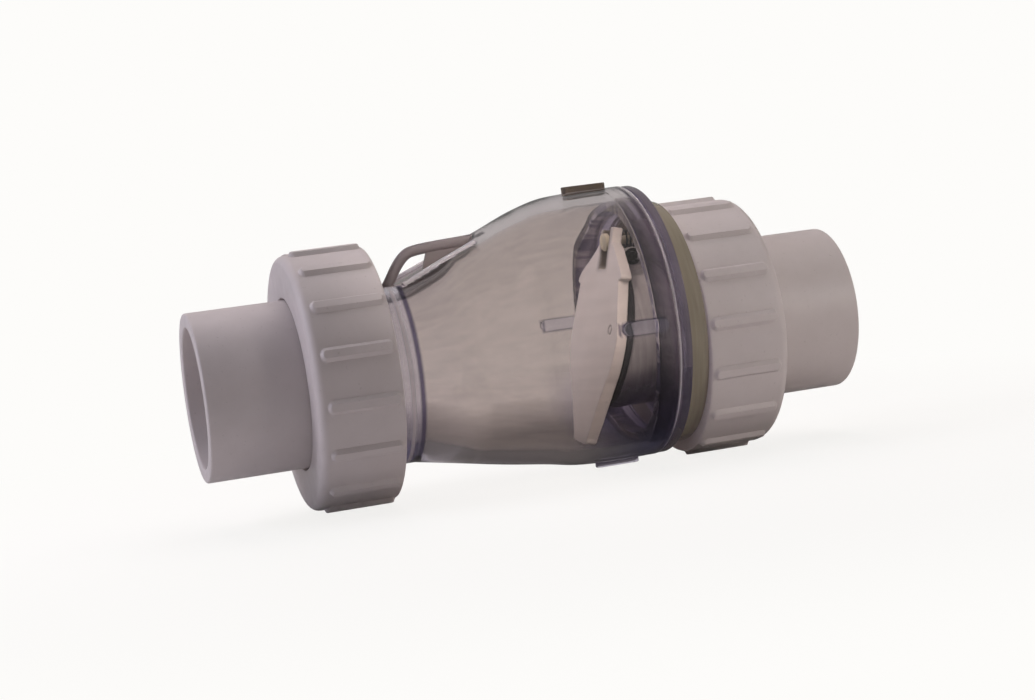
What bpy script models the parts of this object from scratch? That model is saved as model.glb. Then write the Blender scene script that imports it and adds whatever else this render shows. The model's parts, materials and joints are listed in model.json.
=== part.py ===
"""In-line swing check valve: clear bell body, sprung flap and a union at each end.

The pipe line runs along X. Water enters at +X and leaves at -X. The hinge is above the seat.
Lengths are in metres, angles in degrees where the name says so.
"""

import math

import bmesh
import bpy
import numpy as np
from mathutils import Matrix, Vector

# Fits
FIT = 0.0003            # gap between pieces that rest on or in each other
RUN = 0.0002            # running clearance of the hinge pin
OFFSET = 0.0001         # between faces of one moulding that would else coincide
REACH = 0.2             # size of a cutter that runs right through
SEGMENTS = 48           # facets round a large turned piece
SMALL_SEGMENTS = 20     # facets round a pin, a screw or a hole

# Tail pieces: 2 inch socket inside, 2.5 inch spigot outside
BORE_RADIUS = 0.0263
SOCKET_STEP = 0.0039
SOCKET_DEPTH = 0.038
TAIL_WALL = 0.0063
TAIL_FLANGE_STEP = 0.0075
TAIL_FLANGE_THICKNESS = 0.0065
TAIL_CHAMFER = 0.0012
TAIL_REACH = 0.0425     # beyond the nut's outer face
SOCKET_RADIUS = BORE_RADIUS + SOCKET_STEP
TAIL_RADIUS = SOCKET_RADIUS + TAIL_WALL
TAIL_FLANGE_RADIUS = TAIL_RADIUS + TAIL_FLANGE_STEP

# Union nuts
FLANGE_CLEARANCE = 0.0006
NUT_WALL = 0.0108
NUT_LENGTH = 0.03635
NUT_LIP = 0.0060
NUT_HOLE_CLEARANCE = 0.0008
NUT_EDGE_ROUND = 0.0035
NUT_CHAMFER = 0.0010
RIB_COUNT = 16
RIB_WIDTH = 0.0054
RIB_HEIGHT = 0.0018
RIB_ROOT = 0.0012       # how deep a rib stands in the nut
RIB_START = 0.0040      # from the plain outer face
RIB_END = 0.0012        # from the inner face
OUTLET_NUT_TURN_DEG = 8.6
INLET_NUT_TURN_DEG = -3.0
NUT_THREAD_RADIUS = TAIL_FLANGE_RADIUS + FLANGE_CLEARANCE
NUT_RADIUS = NUT_THREAD_RADIUS + NUT_WALL
AXIS_Z = math.hypot(NUT_RADIUS + RIB_HEIGHT, RIB_WIDTH / 2)     # the lowest rib is on the ground

# Threaded spigots that the nuts screw on, at both ends of the body
THREAD_CLEARANCE = 0.0004
SEAT_WALL = 0.0050
SLEEVE_STEP = 0.0017    # the seat tube is thicker where it sits in the spigot
SPIGOT_CHAMFER = 0.0010
RING_CORD = 0.00135     # radius of the O-ring's cord as it sits squeezed
RING_INSET = 0.0049     # from the spigot's bore to the middle of the cord
GROOVE_HALF_WIDTH = 0.0019
SPIGOT_RADIUS = NUT_THREAD_RADIUS - THREAD_CLEARANCE
SEAT_RADIUS = BORE_RADIUS + SEAT_WALL
SPIGOT_BORE = SEAT_RADIUS + SLEEVE_STEP
RING_RADIUS = SPIGOT_BORE + RING_INSET
GROOVE_DEPTH = 2 * RING_CORD + FIT

# Layout along the pipe line, measured from the middle
MOUTH_X = 0.0529        # the bell's mouth
CAP_FLANGE_THICKNESS = 0.0051
POCKET_DEPTH = 0.0053   # from the cap's flange to its floor
CAP_FLOOR = 0.00435
CAP_FLANGE_END_X = MOUTH_X + CAP_FLANGE_THICKNESS
POCKET_FLOOR_X = CAP_FLANGE_END_X + POCKET_DEPTH
NUT_INNER_X = POCKET_FLOOR_X + CAP_FLOOR
TAIL_END_X = NUT_INNER_X + NUT_LENGTH + TAIL_REACH
SPIGOT_FACE_X = NUT_INNER_X + NUT_LENGTH - NUT_LIP - TAIL_FLANGE_THICKNESS - 3 * FIT
TAIL_FACE_X = SPIGOT_FACE_X + FIT

# Bell body. Outlines give x, and the height over the collar's radius above or below the pipe
COLLAR_STEP = 0.0030
COLLAR_HIDDEN = 0.00215  # how far the collar runs on inside the nut
COLLAR_END_X = -0.0560
TOP_OUTLINE = ((COLLAR_END_X, 0.0), (-0.0420, 0.0037), (-0.0140, 0.0142), (0.0040, 0.0215),
               (0.0160, 0.0248), (0.0260, 0.0256), (MOUTH_X, 0.0260))
BOTTOM_OUTLINE = ((COLLAR_END_X, 0.0), (-0.0420, 0.0025), (-0.0140, 0.0076), (0.0040, 0.0103),
                  (0.0160, 0.0124), (0.0260, 0.0131), (MOUTH_X, 0.0130))
BELL_STATIONS = 12
BELL_WALL = 0.0055
COLLAR_RADIUS = SPIGOT_RADIUS - COLLAR_STEP
COLLAR_START_X = -NUT_INNER_X - COLLAR_HIDDEN
MOUTH_RADIUS = COLLAR_RADIUS + (TOP_OUTLINE[-1][1] + BOTTOM_OUTLINE[-1][1]) / 2
BELL_AXIS = (TOP_OUTLINE[-1][1] - BOTTOM_OUTLINE[-1][1]) / 2

# Raised lugs round the bell
LUG_INSET = 0.0157      # from the mouth to the lugs' middle
LUG_LENGTH = 0.0203
LUG_WIDTH = 0.0056
LUG_HEIGHT = 0.0025
LUG_ROOT = 0.0015
LUG_MID_X = MOUTH_X - LUG_INSET

# Loop on the bell's shoulder and the flat that it stands on, as x and height over the collar
LOOP_BAR = 0.0024
LOOP_PATH = ((-0.0585, -0.0067), (-0.0555, -0.0022), (-0.0518, 0.0034), (-0.0478, 0.0075),
             (-0.0435, 0.0091), (-0.0345, 0.0099), (-0.0196, 0.0106), (-0.0130, 0.0113))
WEB_THICKNESS = 0.0020
WEB_OUTLINE = ((-0.0405, 0.0008), (-0.0375, 0.0093), (-0.0180, 0.0106), (-0.0180, 0.0068))
FLAT_OUTLINE = ((-0.0540, -0.0047), (-0.0200, 0.0093), (-0.0130, 0.0168))
FLAT_INSET = 0.0040     # the collar stays round for this far from its start

# End cap: a cup that closes the bell, with the inlet spigot on its floor
SOCKET_LIP = 0.0090     # how far the end cap reaches into the bell
LIP_SEAT = 0.0054       # wall of the bell round the cap's lip
LIP_WALL = 0.0051
LIP_STEP = 0.0006       # ledges at both ends of the lip
CAP_EDGE = 0.0008
NECK_WALL = 0.0050
NECK_DROP = 0.0023      # from the bell's axis down to the neck's
POCKET_DROP = 0.0013
LIP_RADIUS = MOUTH_RADIUS - LIP_SEAT
LIP_BORE = LIP_RADIUS - LIP_WALL
POCKET_RADIUS = LIP_BORE - LIP_STEP
NECK_RADIUS = POCKET_RADIUS + NECK_WALL
CAP_FLANGE_RADIUS = MOUTH_RADIUS - FIT

# Seat tube and hinge
SEAT_TILT_DEG = 15.0
PIVOT_INSET = 0.0013    # from the bell's mouth
SEAT_AHEAD = 0.0108     # from the pivot back to where the seat's plane crosses the pipe line
PIVOT_ABOVE_SEAT = 0.0039
SLEEVE_LENGTH = 0.0107
PIN_RADIUS = 0.0020
PIN_END = 0.0016        # past its clips
EAR_WALL = 0.0022
EAR_THICKNESS = 0.0030
EAR_GAP = 0.0004        # from the arm's side to the ear
CLIP_THICKNESS = 0.0008
CLIP_WALL = 0.0017
CLIP_SLOT = 0.0022
PIVOT_X = MOUTH_X - PIVOT_INSET
PIVOT_RISE = SEAT_RADIUS + PIVOT_ABOVE_SEAT
SEAT_X = PIVOT_X - SEAT_AHEAD
EAR_RADIUS = PIN_RADIUS + EAR_WALL
EAR_FOOT = BORE_RADIUS + FIT - PIVOT_RISE
CLIP_RADIUS = PIN_RADIUS + CLIP_WALL

# Flap
OPEN_DEG = 42.0         # how far it opens from the seat
GASKET_THICKNESS = 0.0024
GASKET_OVERHANG = 0.0015
GASKET_GRIP = 0.0050    # width of gasket under the retainer
PLATE_THICKNESS = 0.0050
PLATE_OVERHANG = 0.0005
ARM_HALF_WIDTH = 0.0080
ARM_TOP = 0.0120        # above the pivot, along the flap
ARM_SLOT_CLEARANCE = 0.0007
ARM_SLOT_FLOOR = -0.0038
BARREL_WALL = 0.0012
TAB_REACH = 0.0190      # below the seat, along the flap
TAB_HALF_WIDTH = 0.0105
TAB_CORNER = 0.0030
TAB_SPREAD_DEG = 38     # where the tab's sides leave the disc, below its middle
RETAINER_CLEARANCE = 0.0033
RETAINER_FLANGE = 0.0020
RETAINER_EDGE = 0.0005
RETAINER_SCREWS = 3
SCREW_INSET = 0.0060    # from the gasket's bore
SCREW_RADIUS = 0.0014
SCREW_HEAD_RADIUS = 0.0029
SCREW_HEAD_HEIGHT = 0.0016
SCREW_DEPTH = 0.0030
BARREL_RADIUS = PIN_RADIUS + BARREL_WALL
GASKET_RADIUS = SEAT_RADIUS + GASKET_OVERHANG
PLATE_RADIUS = SEAT_RADIUS + PLATE_OVERHANG
RETAINER_RADIUS = BORE_RADIUS - RETAINER_CLEARANCE
GASKET_BORE = RETAINER_RADIUS - GASKET_GRIP
SCREW_CIRCLE = GASKET_BORE - SCREW_INSET
TAB_BOTTOM = PIVOT_RISE + SEAT_RADIUS + TAB_REACH

# Guide bolt and closing spring, above the pivot
BOLT_ABOVE_PIVOT = 0.0078
BOLT_RADIUS = 0.0019
BOLT_HEAD_STEP = 0.0021
BOLT_HEAD_HEIGHT = 0.0030
BOLT_HEAD_ROUND = 0.0006
BOLT_HEAD_AHEAD = 0.0093  # from the pivot back to the head's face
BOLT_DEPTH = 0.0032     # reach of the bolt in the cap's floor
SPRING_AHEAD = 0.0003   # from the pivot back to the spring's free end
SPRING_CLEARANCE = 0.0024
SPRING_WIRE = 0.00045
SPRING_TURNS = 5.5
SPRING_STEPS = 12       # points in one turn
BOLT_RISE = PIVOT_RISE + BOLT_ABOVE_PIVOT
BOLT_HEAD_X = PIVOT_X - BOLT_HEAD_AHEAD
BOLT_HEAD_RADIUS = BOLT_RADIUS + BOLT_HEAD_STEP
SPRING_RADIUS = BOLT_RADIUS + SPRING_CLEARANCE
SPRING_START_X = PIVOT_X - SPRING_AHEAD

SEAT_TILT = math.radians(SEAT_TILT_DEG)
PIVOT = Vector((PIVOT_X, 0.0, AXIS_Z + PIVOT_RISE))
# Seat plane and seat centre, seen from the pivot in the flap's own directions
SEAT_OFFSET = (SEAT_X - PIVOT_X) * math.cos(SEAT_TILT) + PIVOT_RISE * math.sin(SEAT_TILT)
SEAT_DROP = (SEAT_X - PIVOT_X) * math.sin(SEAT_TILT) - PIVOT_RISE * math.cos(SEAT_TILT)
GASKET_FACE = SEAT_OFFSET - FIT
PLATE_FACE = GASKET_FACE - GASKET_THICKNESS - FIT
PLATE_BACK = PLATE_FACE - PLATE_THICKNESS

PARTS = "backwater_valve"
CUTTERS = "cutters"


def clear_scene():
    for obj in list(bpy.data.objects):
        bpy.data.objects.remove(obj, do_unlink=True)


def add_collection(name):
    collection = bpy.data.collections.new(name)
    bpy.context.scene.collection.children.link(collection)
    return collection


def add_material(name, colour, roughness, metallic=0.0, transmission=0.0):
    material = bpy.data.materials.new(name)
    material.use_nodes = True
    shader = material.node_tree.nodes["Principled BSDF"]
    shader.inputs["Base Color"].default_value = (*colour, 1.0)
    shader.inputs["Roughness"].default_value = roughness
    shader.inputs["Metallic"].default_value = metallic
    shader.inputs["Transmission Weight"].default_value = transmission
    material.diffuse_color = (*colour, 1.0)
    return material


def add_object(name, mesh, collection, material=None):
    obj = bpy.data.objects.new(name, mesh)
    bpy.data.collections[collection].objects.link(obj)
    if material:
        mesh.materials.append(bpy.data.materials[material])
    if collection == CUTTERS:
        obj.hide_render = True
        obj.display_type = "WIRE"
    return obj


def smooth(obj, angle=35.0):
    obj.data.shade_smooth()
    obj.data.set_sharp_from_angle(angle=math.radians(angle))


def mesh_from_bmesh(name, bm):
    bmesh.ops.recalc_face_normals(bm, faces=bm.faces)
    mesh = bpy.data.meshes.new(name)
    bm.to_mesh(mesh)
    bm.free()
    return mesh


def arc(centre, radius, start_deg, end_deg, steps):
    """Points along an arc, ends included, as (across, up) pairs."""
    angles = np.radians(np.linspace(start_deg, end_deg, steps + 1))
    return [(centre[0] + radius * math.cos(a), centre[1] + radius * math.sin(a)) for a in angles]


def turned(name, profile, material, segments=SEGMENTS, collection=PARTS):
    """A closed outline in the XZ plane, turned round Z. It runs down its outer side."""
    mesh = bpy.data.meshes.new(name)
    points = [(x, 0.0, z) for x, z in profile]
    closed = not (profile[0][0] == 0.0 and profile[-1][0] == 0.0)
    edges = [(i, i + 1) for i in range(len(points) - 1)]
    if closed:
        edges.append((len(points) - 1, 0))
    mesh.from_pydata(points, edges, [])
    obj = add_object(name, mesh, collection, material)
    screw = obj.modifiers.new("turn", "SCREW")
    screw.axis = "Z"
    screw.steps = segments
    screw.render_steps = segments
    screw.use_merge_vertices = True
    screw.merge_threshold = 0.00001
    screw.use_smooth_shade = True
    return obj


def cylinder(name, radius, depth, collection, material=None, segments=SMALL_SEGMENTS):
    """A cylinder along Z, centred on its origin."""
    bm = bmesh.new()
    bmesh.ops.create_cone(bm, cap_ends=True, segments=segments, radius1=radius,
                          radius2=radius, depth=depth)
    obj = add_object(name, mesh_from_bmesh(name, bm), collection, material)
    smooth(obj)
    return obj


def box(name, low, high, collection, material=None):
    """A box between two corners, in the object's own directions."""
    bm = bmesh.new()
    size = Vector(high) - Vector(low)
    middle = (Vector(high) + Vector(low)) / 2
    bmesh.ops.create_cube(bm, size=1.0, matrix=Matrix.Translation(middle) @ Matrix.Diagonal((*size, 1.0)))
    return add_object(name, mesh_from_bmesh(name, bm), collection, material)


def flat_shape(name, outline, thickness, collection, material=None):
    """A flat outline given in the XY plane, made solid on both sides of it."""
    curve = bpy.data.curves.new(name, "CURVE")
    curve.dimensions = "2D"
    curve.fill_mode = "BOTH"
    curve.extrude = thickness / 2
    spline = curve.splines.new("POLY")
    spline.points.add(len(outline) - 1)
    for point, (x, y) in zip(spline.points, outline):
        point.co = (x, y, 0.0, 1.0)
    spline.use_cyclic_u = True
    return curve_to_mesh(name, curve, collection, material)


def curve_to_mesh(name, curve, collection, material=None):
    """The curve as a mesh with welded caps."""
    carrier = bpy.data.objects.new(name + "_curve", curve)
    bpy.context.scene.collection.objects.link(carrier)
    evaluated = carrier.evaluated_get(bpy.context.evaluated_depsgraph_get())
    mesh = bpy.data.meshes.new_from_object(evaluated)
    bpy.data.objects.remove(carrier, do_unlink=True)
    bm = bmesh.new()
    bm.from_mesh(mesh)
    bmesh.ops.remove_doubles(bm, verts=bm.verts, dist=0.000001)
    bpy.data.meshes.remove(mesh)
    return add_object(name, mesh_from_bmesh(name, bm), collection, material)


def rod(name, points, radius, collection, material=None, resolution=2):
    """A round bar or wire through the points."""
    curve = bpy.data.curves.new(name, "CURVE")
    curve.dimensions = "3D"
    curve.bevel_depth = radius
    curve.bevel_resolution = resolution
    curve.use_fill_caps = True
    spline = curve.splines.new("POLY")
    spline.points.add(len(points) - 1)
    for point, place in zip(spline.points, points):
        point.co = (*place, 1.0)
    return curve_to_mesh(name, curve, collection, material)


def lofted(name, rings, material, collection=PARTS):
    """A closed chain of circles across X, each given by its x, axis height and radius."""
    bm = bmesh.new()
    loops = []
    for x, rise, radius in rings:
        loop = []
        for i in range(SEGMENTS):
            a = 2 * math.pi * i / SEGMENTS
            loop.append(bm.verts.new((x, radius * math.sin(a), rise + radius * math.cos(a))))
        loops.append(loop)
    for first, second in zip(loops, loops[1:] + loops[:1]):
        for i in range(SEGMENTS):
            j = (i + 1) % SEGMENTS
            bm.faces.new((first[i], first[j], second[j], second[i]))
    obj = add_object(name, mesh_from_bmesh(name, bm), collection, material)
    obj.location.z = AXIS_Z
    smooth(obj)
    return obj


def combine(target, other, operation):
    modifier = target.modifiers.new(operation.lower(), "BOOLEAN")
    modifier.operation = operation
    modifier.object = other
    modifier.solver = "EXACT"


def place(obj, matrix, parent=None):
    if parent:
        obj.parent = parent
    obj.matrix_local = matrix


def along_x(x, rise, outward, turn_deg=0.0):
    """Lays a piece's Z along the pipe line, pointing outward (+1 or -1), turned about it."""
    lay = Matrix.Rotation(outward * math.pi / 2, 4, "Y")
    turn = Matrix.Rotation(math.radians(turn_deg), 4, "X")
    return Matrix.Translation((x, 0.0, AXIS_Z + rise)) @ turn @ lay


def smooth_line(points, x):
    """Height of a smooth line through an outline's points, by a cubic between neighbours."""
    xs = [p[0] for p in points]
    ys = [p[1] for p in points]
    slopes = np.gradient(ys, xs)
    k = min(max(int(np.searchsorted(xs, x)) - 1, 0), len(xs) - 2)
    step = xs[k + 1] - xs[k]
    t = (x - xs[k]) / step
    blend = (2 * t**3 - 3 * t**2 + 1, t**3 - 2 * t**2 + t, 3 * t**2 - 2 * t**3, t**3 - t**2)
    return (blend[0] * ys[k] + blend[1] * step * slopes[k]
            + blend[2] * ys[k + 1] + blend[3] * step * slopes[k + 1])


def bell_ring(x, inset=0.0):
    """The bell's cross-section at x, drawn in by the inset."""
    top = smooth_line(TOP_OUTLINE, x)
    bottom = smooth_line(BOTTOM_OUTLINE, x)
    return (x, (top - bottom) / 2, COLLAR_RADIUS + (top + bottom) / 2 - inset)


def spigot_face(sign):
    """Rings across a spigot's end face with its O-ring groove, from the rim to the bore."""
    face = sign * SPIGOT_FACE_X
    floor = sign * (SPIGOT_FACE_X - GROOVE_DEPTH)
    outer = RING_RADIUS + GROOVE_HALF_WIDTH
    inner = RING_RADIUS - GROOVE_HALF_WIDTH
    return [(sign * (SPIGOT_FACE_X - SPIGOT_CHAMFER), 0.0, SPIGOT_RADIUS),
            (face, 0.0, SPIGOT_RADIUS - SPIGOT_CHAMFER),
            (face, 0.0, outer), (floor, 0.0, outer), (floor, 0.0, inner), (face, 0.0, inner),
            (face, 0.0, SPIGOT_BORE)]


def stadium(length, width, steps=4):
    """A long outline with round ends, along Y."""
    half = (length - width) / 2
    return (arc((0.0, half), width / 2, 0, 180, steps)
            + arc((0.0, -half), width / 2, 180, 360, steps))


def make_body_shell():
    xs = np.linspace(COLLAR_END_X, MOUTH_X, BELL_STATIONS)
    lip_floor_x = MOUTH_X - SOCKET_LIP
    outer = [bell_ring(x) for x in xs]
    inner = [bell_ring(x, BELL_WALL) for x in xs[2:-2:2]]
    socket = LIP_RADIUS + FIT
    rings = spigot_face(-1)[::-1]
    rings += [(COLLAR_START_X, 0.0, SPIGOT_RADIUS), (COLLAR_START_X, 0.0, COLLAR_RADIUS)]
    rings += outer
    rings += [(MOUTH_X, BELL_AXIS, socket), (lip_floor_x, BELL_AXIS, socket)]
    rings += [bell_ring(lip_floor_x, BELL_WALL + LIP_STEP)]
    rings += inner[::-1]
    rings += [(COLLAR_END_X, 0.0, SPIGOT_BORE)]
    body = lofted("body_shell", rings, "clear_pvc")
    combine(body, shoulder_flat(), "DIFFERENCE")
    combine(body, shoulder_loop(), "UNION")
    combine(body, loop_web(), "UNION")
    for lug in bell_lugs():
        combine(body, lug, "UNION")
    return body


def bell_lugs():
    lugs = []
    root = bell_ring(LUG_MID_X)[2] - LUG_ROOT
    top = MOUTH_RADIUS + LUG_HEIGHT
    for k in range(4):
        lug = flat_shape(f"lug_{k}", stadium(LUG_LENGTH, LUG_WIDTH), top - root, CUTTERS)
        middle = (top + root) / 2
        turn = Matrix.Rotation(k * math.pi / 2, 4, "X")
        lift = Matrix.Translation((LUG_MID_X, 0.0, AXIS_Z + BELL_AXIS))
        lay = Matrix.Rotation(math.pi / 2, 4, "Z")
        place(lug, lift @ turn @ Matrix.Translation((0.0, 0.0, middle)) @ lay)
        lugs.append(lug)
    return lugs


def above_collar(points):
    """Outline points with their heights counted from the pipe line."""
    return [(x, COLLAR_RADIUS + height) for x, height in points]


def shoulder_flat():
    """The block that planes the shoulder flat under the loop."""
    start = COLLAR_START_X + FLAT_INSET
    line = above_collar(FLAT_OUTLINE)
    outline = [(start, line[0][1])] + line + [(start, line[-1][1])]
    cutter = flat_shape("shoulder_flat", outline, REACH, CUTTERS)
    place(cutter, Matrix.Translation((0.0, 0.0, AXIS_Z)) @ Matrix.Rotation(math.pi / 2, 4, "X"))
    return cutter


def shoulder_loop():
    points = [(x, 0.0, z) for x, z in above_collar(LOOP_PATH)]
    loop = rod("loop_bar", points, LOOP_BAR, CUTTERS)
    loop.location.z = AXIS_Z
    return loop


def loop_web():
    web = flat_shape("loop_web", above_collar(WEB_OUTLINE), WEB_THICKNESS, CUTTERS)
    place(web, Matrix.Translation((0.0, 0.0, AXIS_Z)) @ Matrix.Rotation(math.pi / 2, 4, "X"))
    return web


def make_end_cap():
    lip_start = MOUTH_X - SOCKET_LIP + FIT
    flange_start = MOUTH_X + FIT
    shoulder = NUT_INNER_X - FIT
    neck_axis = BELL_AXIS - NECK_DROP
    rings = [(lip_start, BELL_AXIS, LIP_RADIUS), (flange_start, BELL_AXIS, LIP_RADIUS),
             (flange_start, BELL_AXIS, CAP_FLANGE_RADIUS),
             (CAP_FLANGE_END_X - CAP_EDGE, BELL_AXIS, CAP_FLANGE_RADIUS),
             (CAP_FLANGE_END_X, BELL_AXIS, CAP_FLANGE_RADIUS - CAP_EDGE),
             (CAP_FLANGE_END_X, neck_axis, NECK_RADIUS),
             (shoulder - CAP_EDGE, neck_axis, NECK_RADIUS),
             (shoulder, neck_axis, NECK_RADIUS - CAP_EDGE),
             (shoulder, 0.0, SPIGOT_RADIUS)]
    rings += spigot_face(1)
    rings += [(POCKET_FLOOR_X, 0.0, SPIGOT_BORE),
              (POCKET_FLOOR_X, BELL_AXIS - POCKET_DROP, POCKET_RADIUS),
              (MOUTH_X, BELL_AXIS - POCKET_DROP, POCKET_RADIUS), (lip_start, BELL_AXIS, LIP_BORE)]
    cap = lofted("end_cap", rings, "clear_pvc")
    hole = cylinder("bolt_hole", BOLT_RADIUS + FIT, 2 * (BOLT_DEPTH + FIT), CUTTERS)
    place(hole, along_x(POCKET_FLOOR_X, BOLT_RISE, 1))
    combine(cap, hole, "DIFFERENCE")
    return cap


def flap_frame():
    """An empty on the hinge axis, with Z along the closed flap and X towards the seat."""
    frame = bpy.data.objects.new("flap_pivot", None)
    bpy.data.collections[PARTS].objects.link(frame)
    frame.location = PIVOT
    frame.rotation_euler.y = SEAT_TILT
    frame.empty_display_size = ARM_TOP
    bpy.context.view_layer.update()
    return frame


def make_seat_tube(frame):
    """The tube whose slanted end is the seat, with the two hinge ears."""
    start = SEAT_X - SEAT_RADIUS / 2
    length = POCKET_FLOOR_X + SLEEVE_LENGTH - start
    sleeve = SPIGOT_BORE - FIT
    step = POCKET_FLOOR_X + FIT - start
    profile = [(SEAT_RADIUS, 0.0), (BORE_RADIUS, 0.0), (BORE_RADIUS, length),
               (sleeve, length), (sleeve, step), (SEAT_RADIUS, step)]
    tube = turned("seat_tube", profile, "smoky_pvc")
    place(tube, along_x(start, 0.0, 1))
    face = box("seat_cut", (-REACH, -REACH, -REACH), (SEAT_OFFSET, REACH, REACH), CUTTERS)
    place(face, Matrix.Identity(4), frame)
    combine(tube, face, "DIFFERENCE")
    middle = ARM_HALF_WIDTH + EAR_GAP + EAR_THICKNESS / 2
    outline = [(SEAT_OFFSET + FIT, EAR_FOOT)]
    outline += arc((0.0, 0.0), EAR_RADIUS, 256, -10, 14)
    outline += [(EAR_RADIUS + PIN_RADIUS, EAR_FOOT)]
    lay = Matrix.Rotation(math.pi / 2, 4, "X")
    for side in (-1, 1):
        ear = flat_shape("ear_near" if side < 0 else "ear_far", outline, EAR_THICKNESS, CUTTERS)
        place(ear, Matrix.Translation((0.0, side * middle, 0.0)) @ lay, frame)
        combine(tube, ear, "UNION")
    hole = cylinder("ear_hole", PIN_RADIUS + RUN / 2, REACH, CUTTERS)
    place(hole, lay, frame)
    combine(tube, hole, "DIFFERENCE")
    return tube


def make_hinge_pin(frame):
    reach = ARM_HALF_WIDTH + EAR_GAP + EAR_THICKNESS + CLIP_THICKNESS + PIN_END
    pin = cylinder("hinge_pin", PIN_RADIUS, 2 * reach, PARTS, "stainless_steel")
    place(pin, Matrix.Rotation(math.pi / 2, 4, "X"), frame)


def make_pin_clips(frame):
    """A ring with a slot, on each end of the pin."""
    middle = ARM_HALF_WIDTH + EAR_GAP + EAR_THICKNESS + FIT + CLIP_THICKNESS / 2
    bore = PIN_RADIUS + RUN / 2
    half = CLIP_THICKNESS / 2
    profile = [(bore, half), (CLIP_RADIUS, half), (CLIP_RADIUS, -half), (bore, -half)]
    for name, side in (("pin_clip_near", -1), ("pin_clip_far", 1)):
        clip = turned(name, profile, "stainless_steel", SMALL_SEGMENTS)
        place(clip, Matrix.Translation((0.0, side * middle, 0.0))
              @ Matrix.Rotation(math.pi / 2, 4, "X"), frame)
        slot = box(name + "_slot", (0.0, -CLIP_SLOT / 2, -CLIP_THICKNESS),
                   (2 * CLIP_RADIUS, CLIP_SLOT / 2, CLIP_THICKNESS), CUTTERS)
        place(slot, clip.matrix_local.copy(), frame)
        combine(clip, slot, "DIFFERENCE")


def flap_outline():
    """The flap seen along the pipe: a disc drawn out into a blunt tab below."""
    low = SEAT_DROP
    tab = -TAB_BOTTOM
    right = arc((0.0, low), PLATE_RADIUS, -TAB_SPREAD_DEG, 90, 16)
    left = arc((0.0, low), PLATE_RADIUS, 90, 180 + TAB_SPREAD_DEG, 16)[1:]
    foot_left = arc((-TAB_HALF_WIDTH + TAB_CORNER, tab + TAB_CORNER), TAB_CORNER, 180, 270, 3)
    foot_right = arc((TAB_HALF_WIDTH - TAB_CORNER, tab + TAB_CORNER), TAB_CORNER, 270, 360, 3)
    return right + left + foot_left + foot_right


def make_flapper(frame):
    """Plate, tab, forked arm and hinge barrel in one moulding."""
    flap = flat_shape("flapper", flap_outline(), PLATE_THICKNESS, PARTS, "white_pvc")
    upright = Matrix(((0.0, 0.0, 1.0, 0.0), (1.0, 0.0, 0.0, 0.0),
                      (0.0, 1.0, 0.0, 0.0), (0.0, 0.0, 0.0, 1.0)))
    flap.data.transform(Matrix.Translation(((PLATE_BACK + PLATE_FACE) / 2, 0.0, 0.0)) @ upright)
    place(flap, Matrix.Identity(4), frame)
    arm = box("arm", (PLATE_BACK, -ARM_HALF_WIDTH, SEAT_DROP / 2),
              (PLATE_FACE - OFFSET, ARM_HALF_WIDTH, ARM_TOP), CUTTERS)
    place(arm, Matrix.Identity(4), frame)
    combine(flap, arm, "UNION")
    lay = Matrix.Rotation(math.pi / 2, 4, "X")
    barrel = cylinder("barrel", BARREL_RADIUS, 2 * (ARM_HALF_WIDTH - OFFSET), CUTTERS)
    place(barrel, lay, frame)
    combine(flap, barrel, "UNION")
    side = ARM_HALF_WIDTH - 2 * OFFSET
    bridge = box("bridge", (PLATE_FACE - PLATE_THICKNESS / 2, -side, 2 * OFFSET - BARREL_RADIUS),
                 (-2 * OFFSET, side, BARREL_RADIUS - 2 * OFFSET), CUTTERS)
    place(bridge, Matrix.Identity(4), frame)
    combine(flap, bridge, "UNION")
    bore = cylinder("barrel_bore", PIN_RADIUS + RUN, REACH, CUTTERS)
    place(bore, lay, frame)
    combine(flap, bore, "DIFFERENCE")
    half = BOLT_RADIUS + ARM_SLOT_CLEARANCE
    slot = box("arm_slot", (-REACH, -half, ARM_SLOT_FLOOR), (REACH, half, REACH), CUTTERS)
    place(slot, Matrix.Identity(4), frame)
    combine(flap, slot, "DIFFERENCE")
    combine(flap, head_relief(frame), "DIFFERENCE")
    for hole in screw_holes(frame, SCREW_RADIUS + FIT, PLATE_FACE - SCREW_DEPTH,
                            PLATE_FACE + SCREW_RADIUS, "flap_screw_hole"):
        combine(flap, hole, "DIFFERENCE")
    return flap


def head_relief(frame):
    """The pocket in the arm's back that the bolt's head stands in, shut or open."""
    half = BOLT_HEAD_RADIUS + 2 * FIT
    turned_to = SEAT_TILT + math.radians(OPEN_DEG)
    head_end = BOLT_HEAD_X + BOLT_HEAD_HEIGHT - PIVOT_X
    low = BOLT_ABOVE_PIVOT - half
    shut = head_end * math.cos(SEAT_TILT) - low * math.sin(SEAT_TILT)
    opened = head_end * math.cos(turned_to) - low * math.sin(turned_to)
    depth = max(shut, opened) + 2 * FIT
    floor = ((BOLT_HEAD_X - PIVOT_X) * math.sin(turned_to) + low * math.cos(turned_to)) - 2 * FIT
    relief = box("head_relief", (-REACH, -half, floor), (depth, half, REACH), CUTTERS)
    place(relief, Matrix.Identity(4), frame)
    return relief


def screw_places():
    return [(SCREW_CIRCLE * math.sin(a), SEAT_DROP + SCREW_CIRCLE * math.cos(a))
            for a in (2 * math.pi * k / RETAINER_SCREWS for k in range(RETAINER_SCREWS))]


def screw_holes(frame, radius, start, end, name):
    """Round cutters across the flap at the screws' places, between two depths."""
    holes = []
    for k, (y, z) in enumerate(screw_places()):
        hole = cylinder(f"{name}_{k}", radius, end - start, CUTTERS, segments=16)
        place(hole, Matrix.Translation(((start + end) / 2, y, z))
              @ Matrix.Rotation(math.pi / 2, 4, "Y"), frame)
        holes.append(hole)
    return holes


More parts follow.
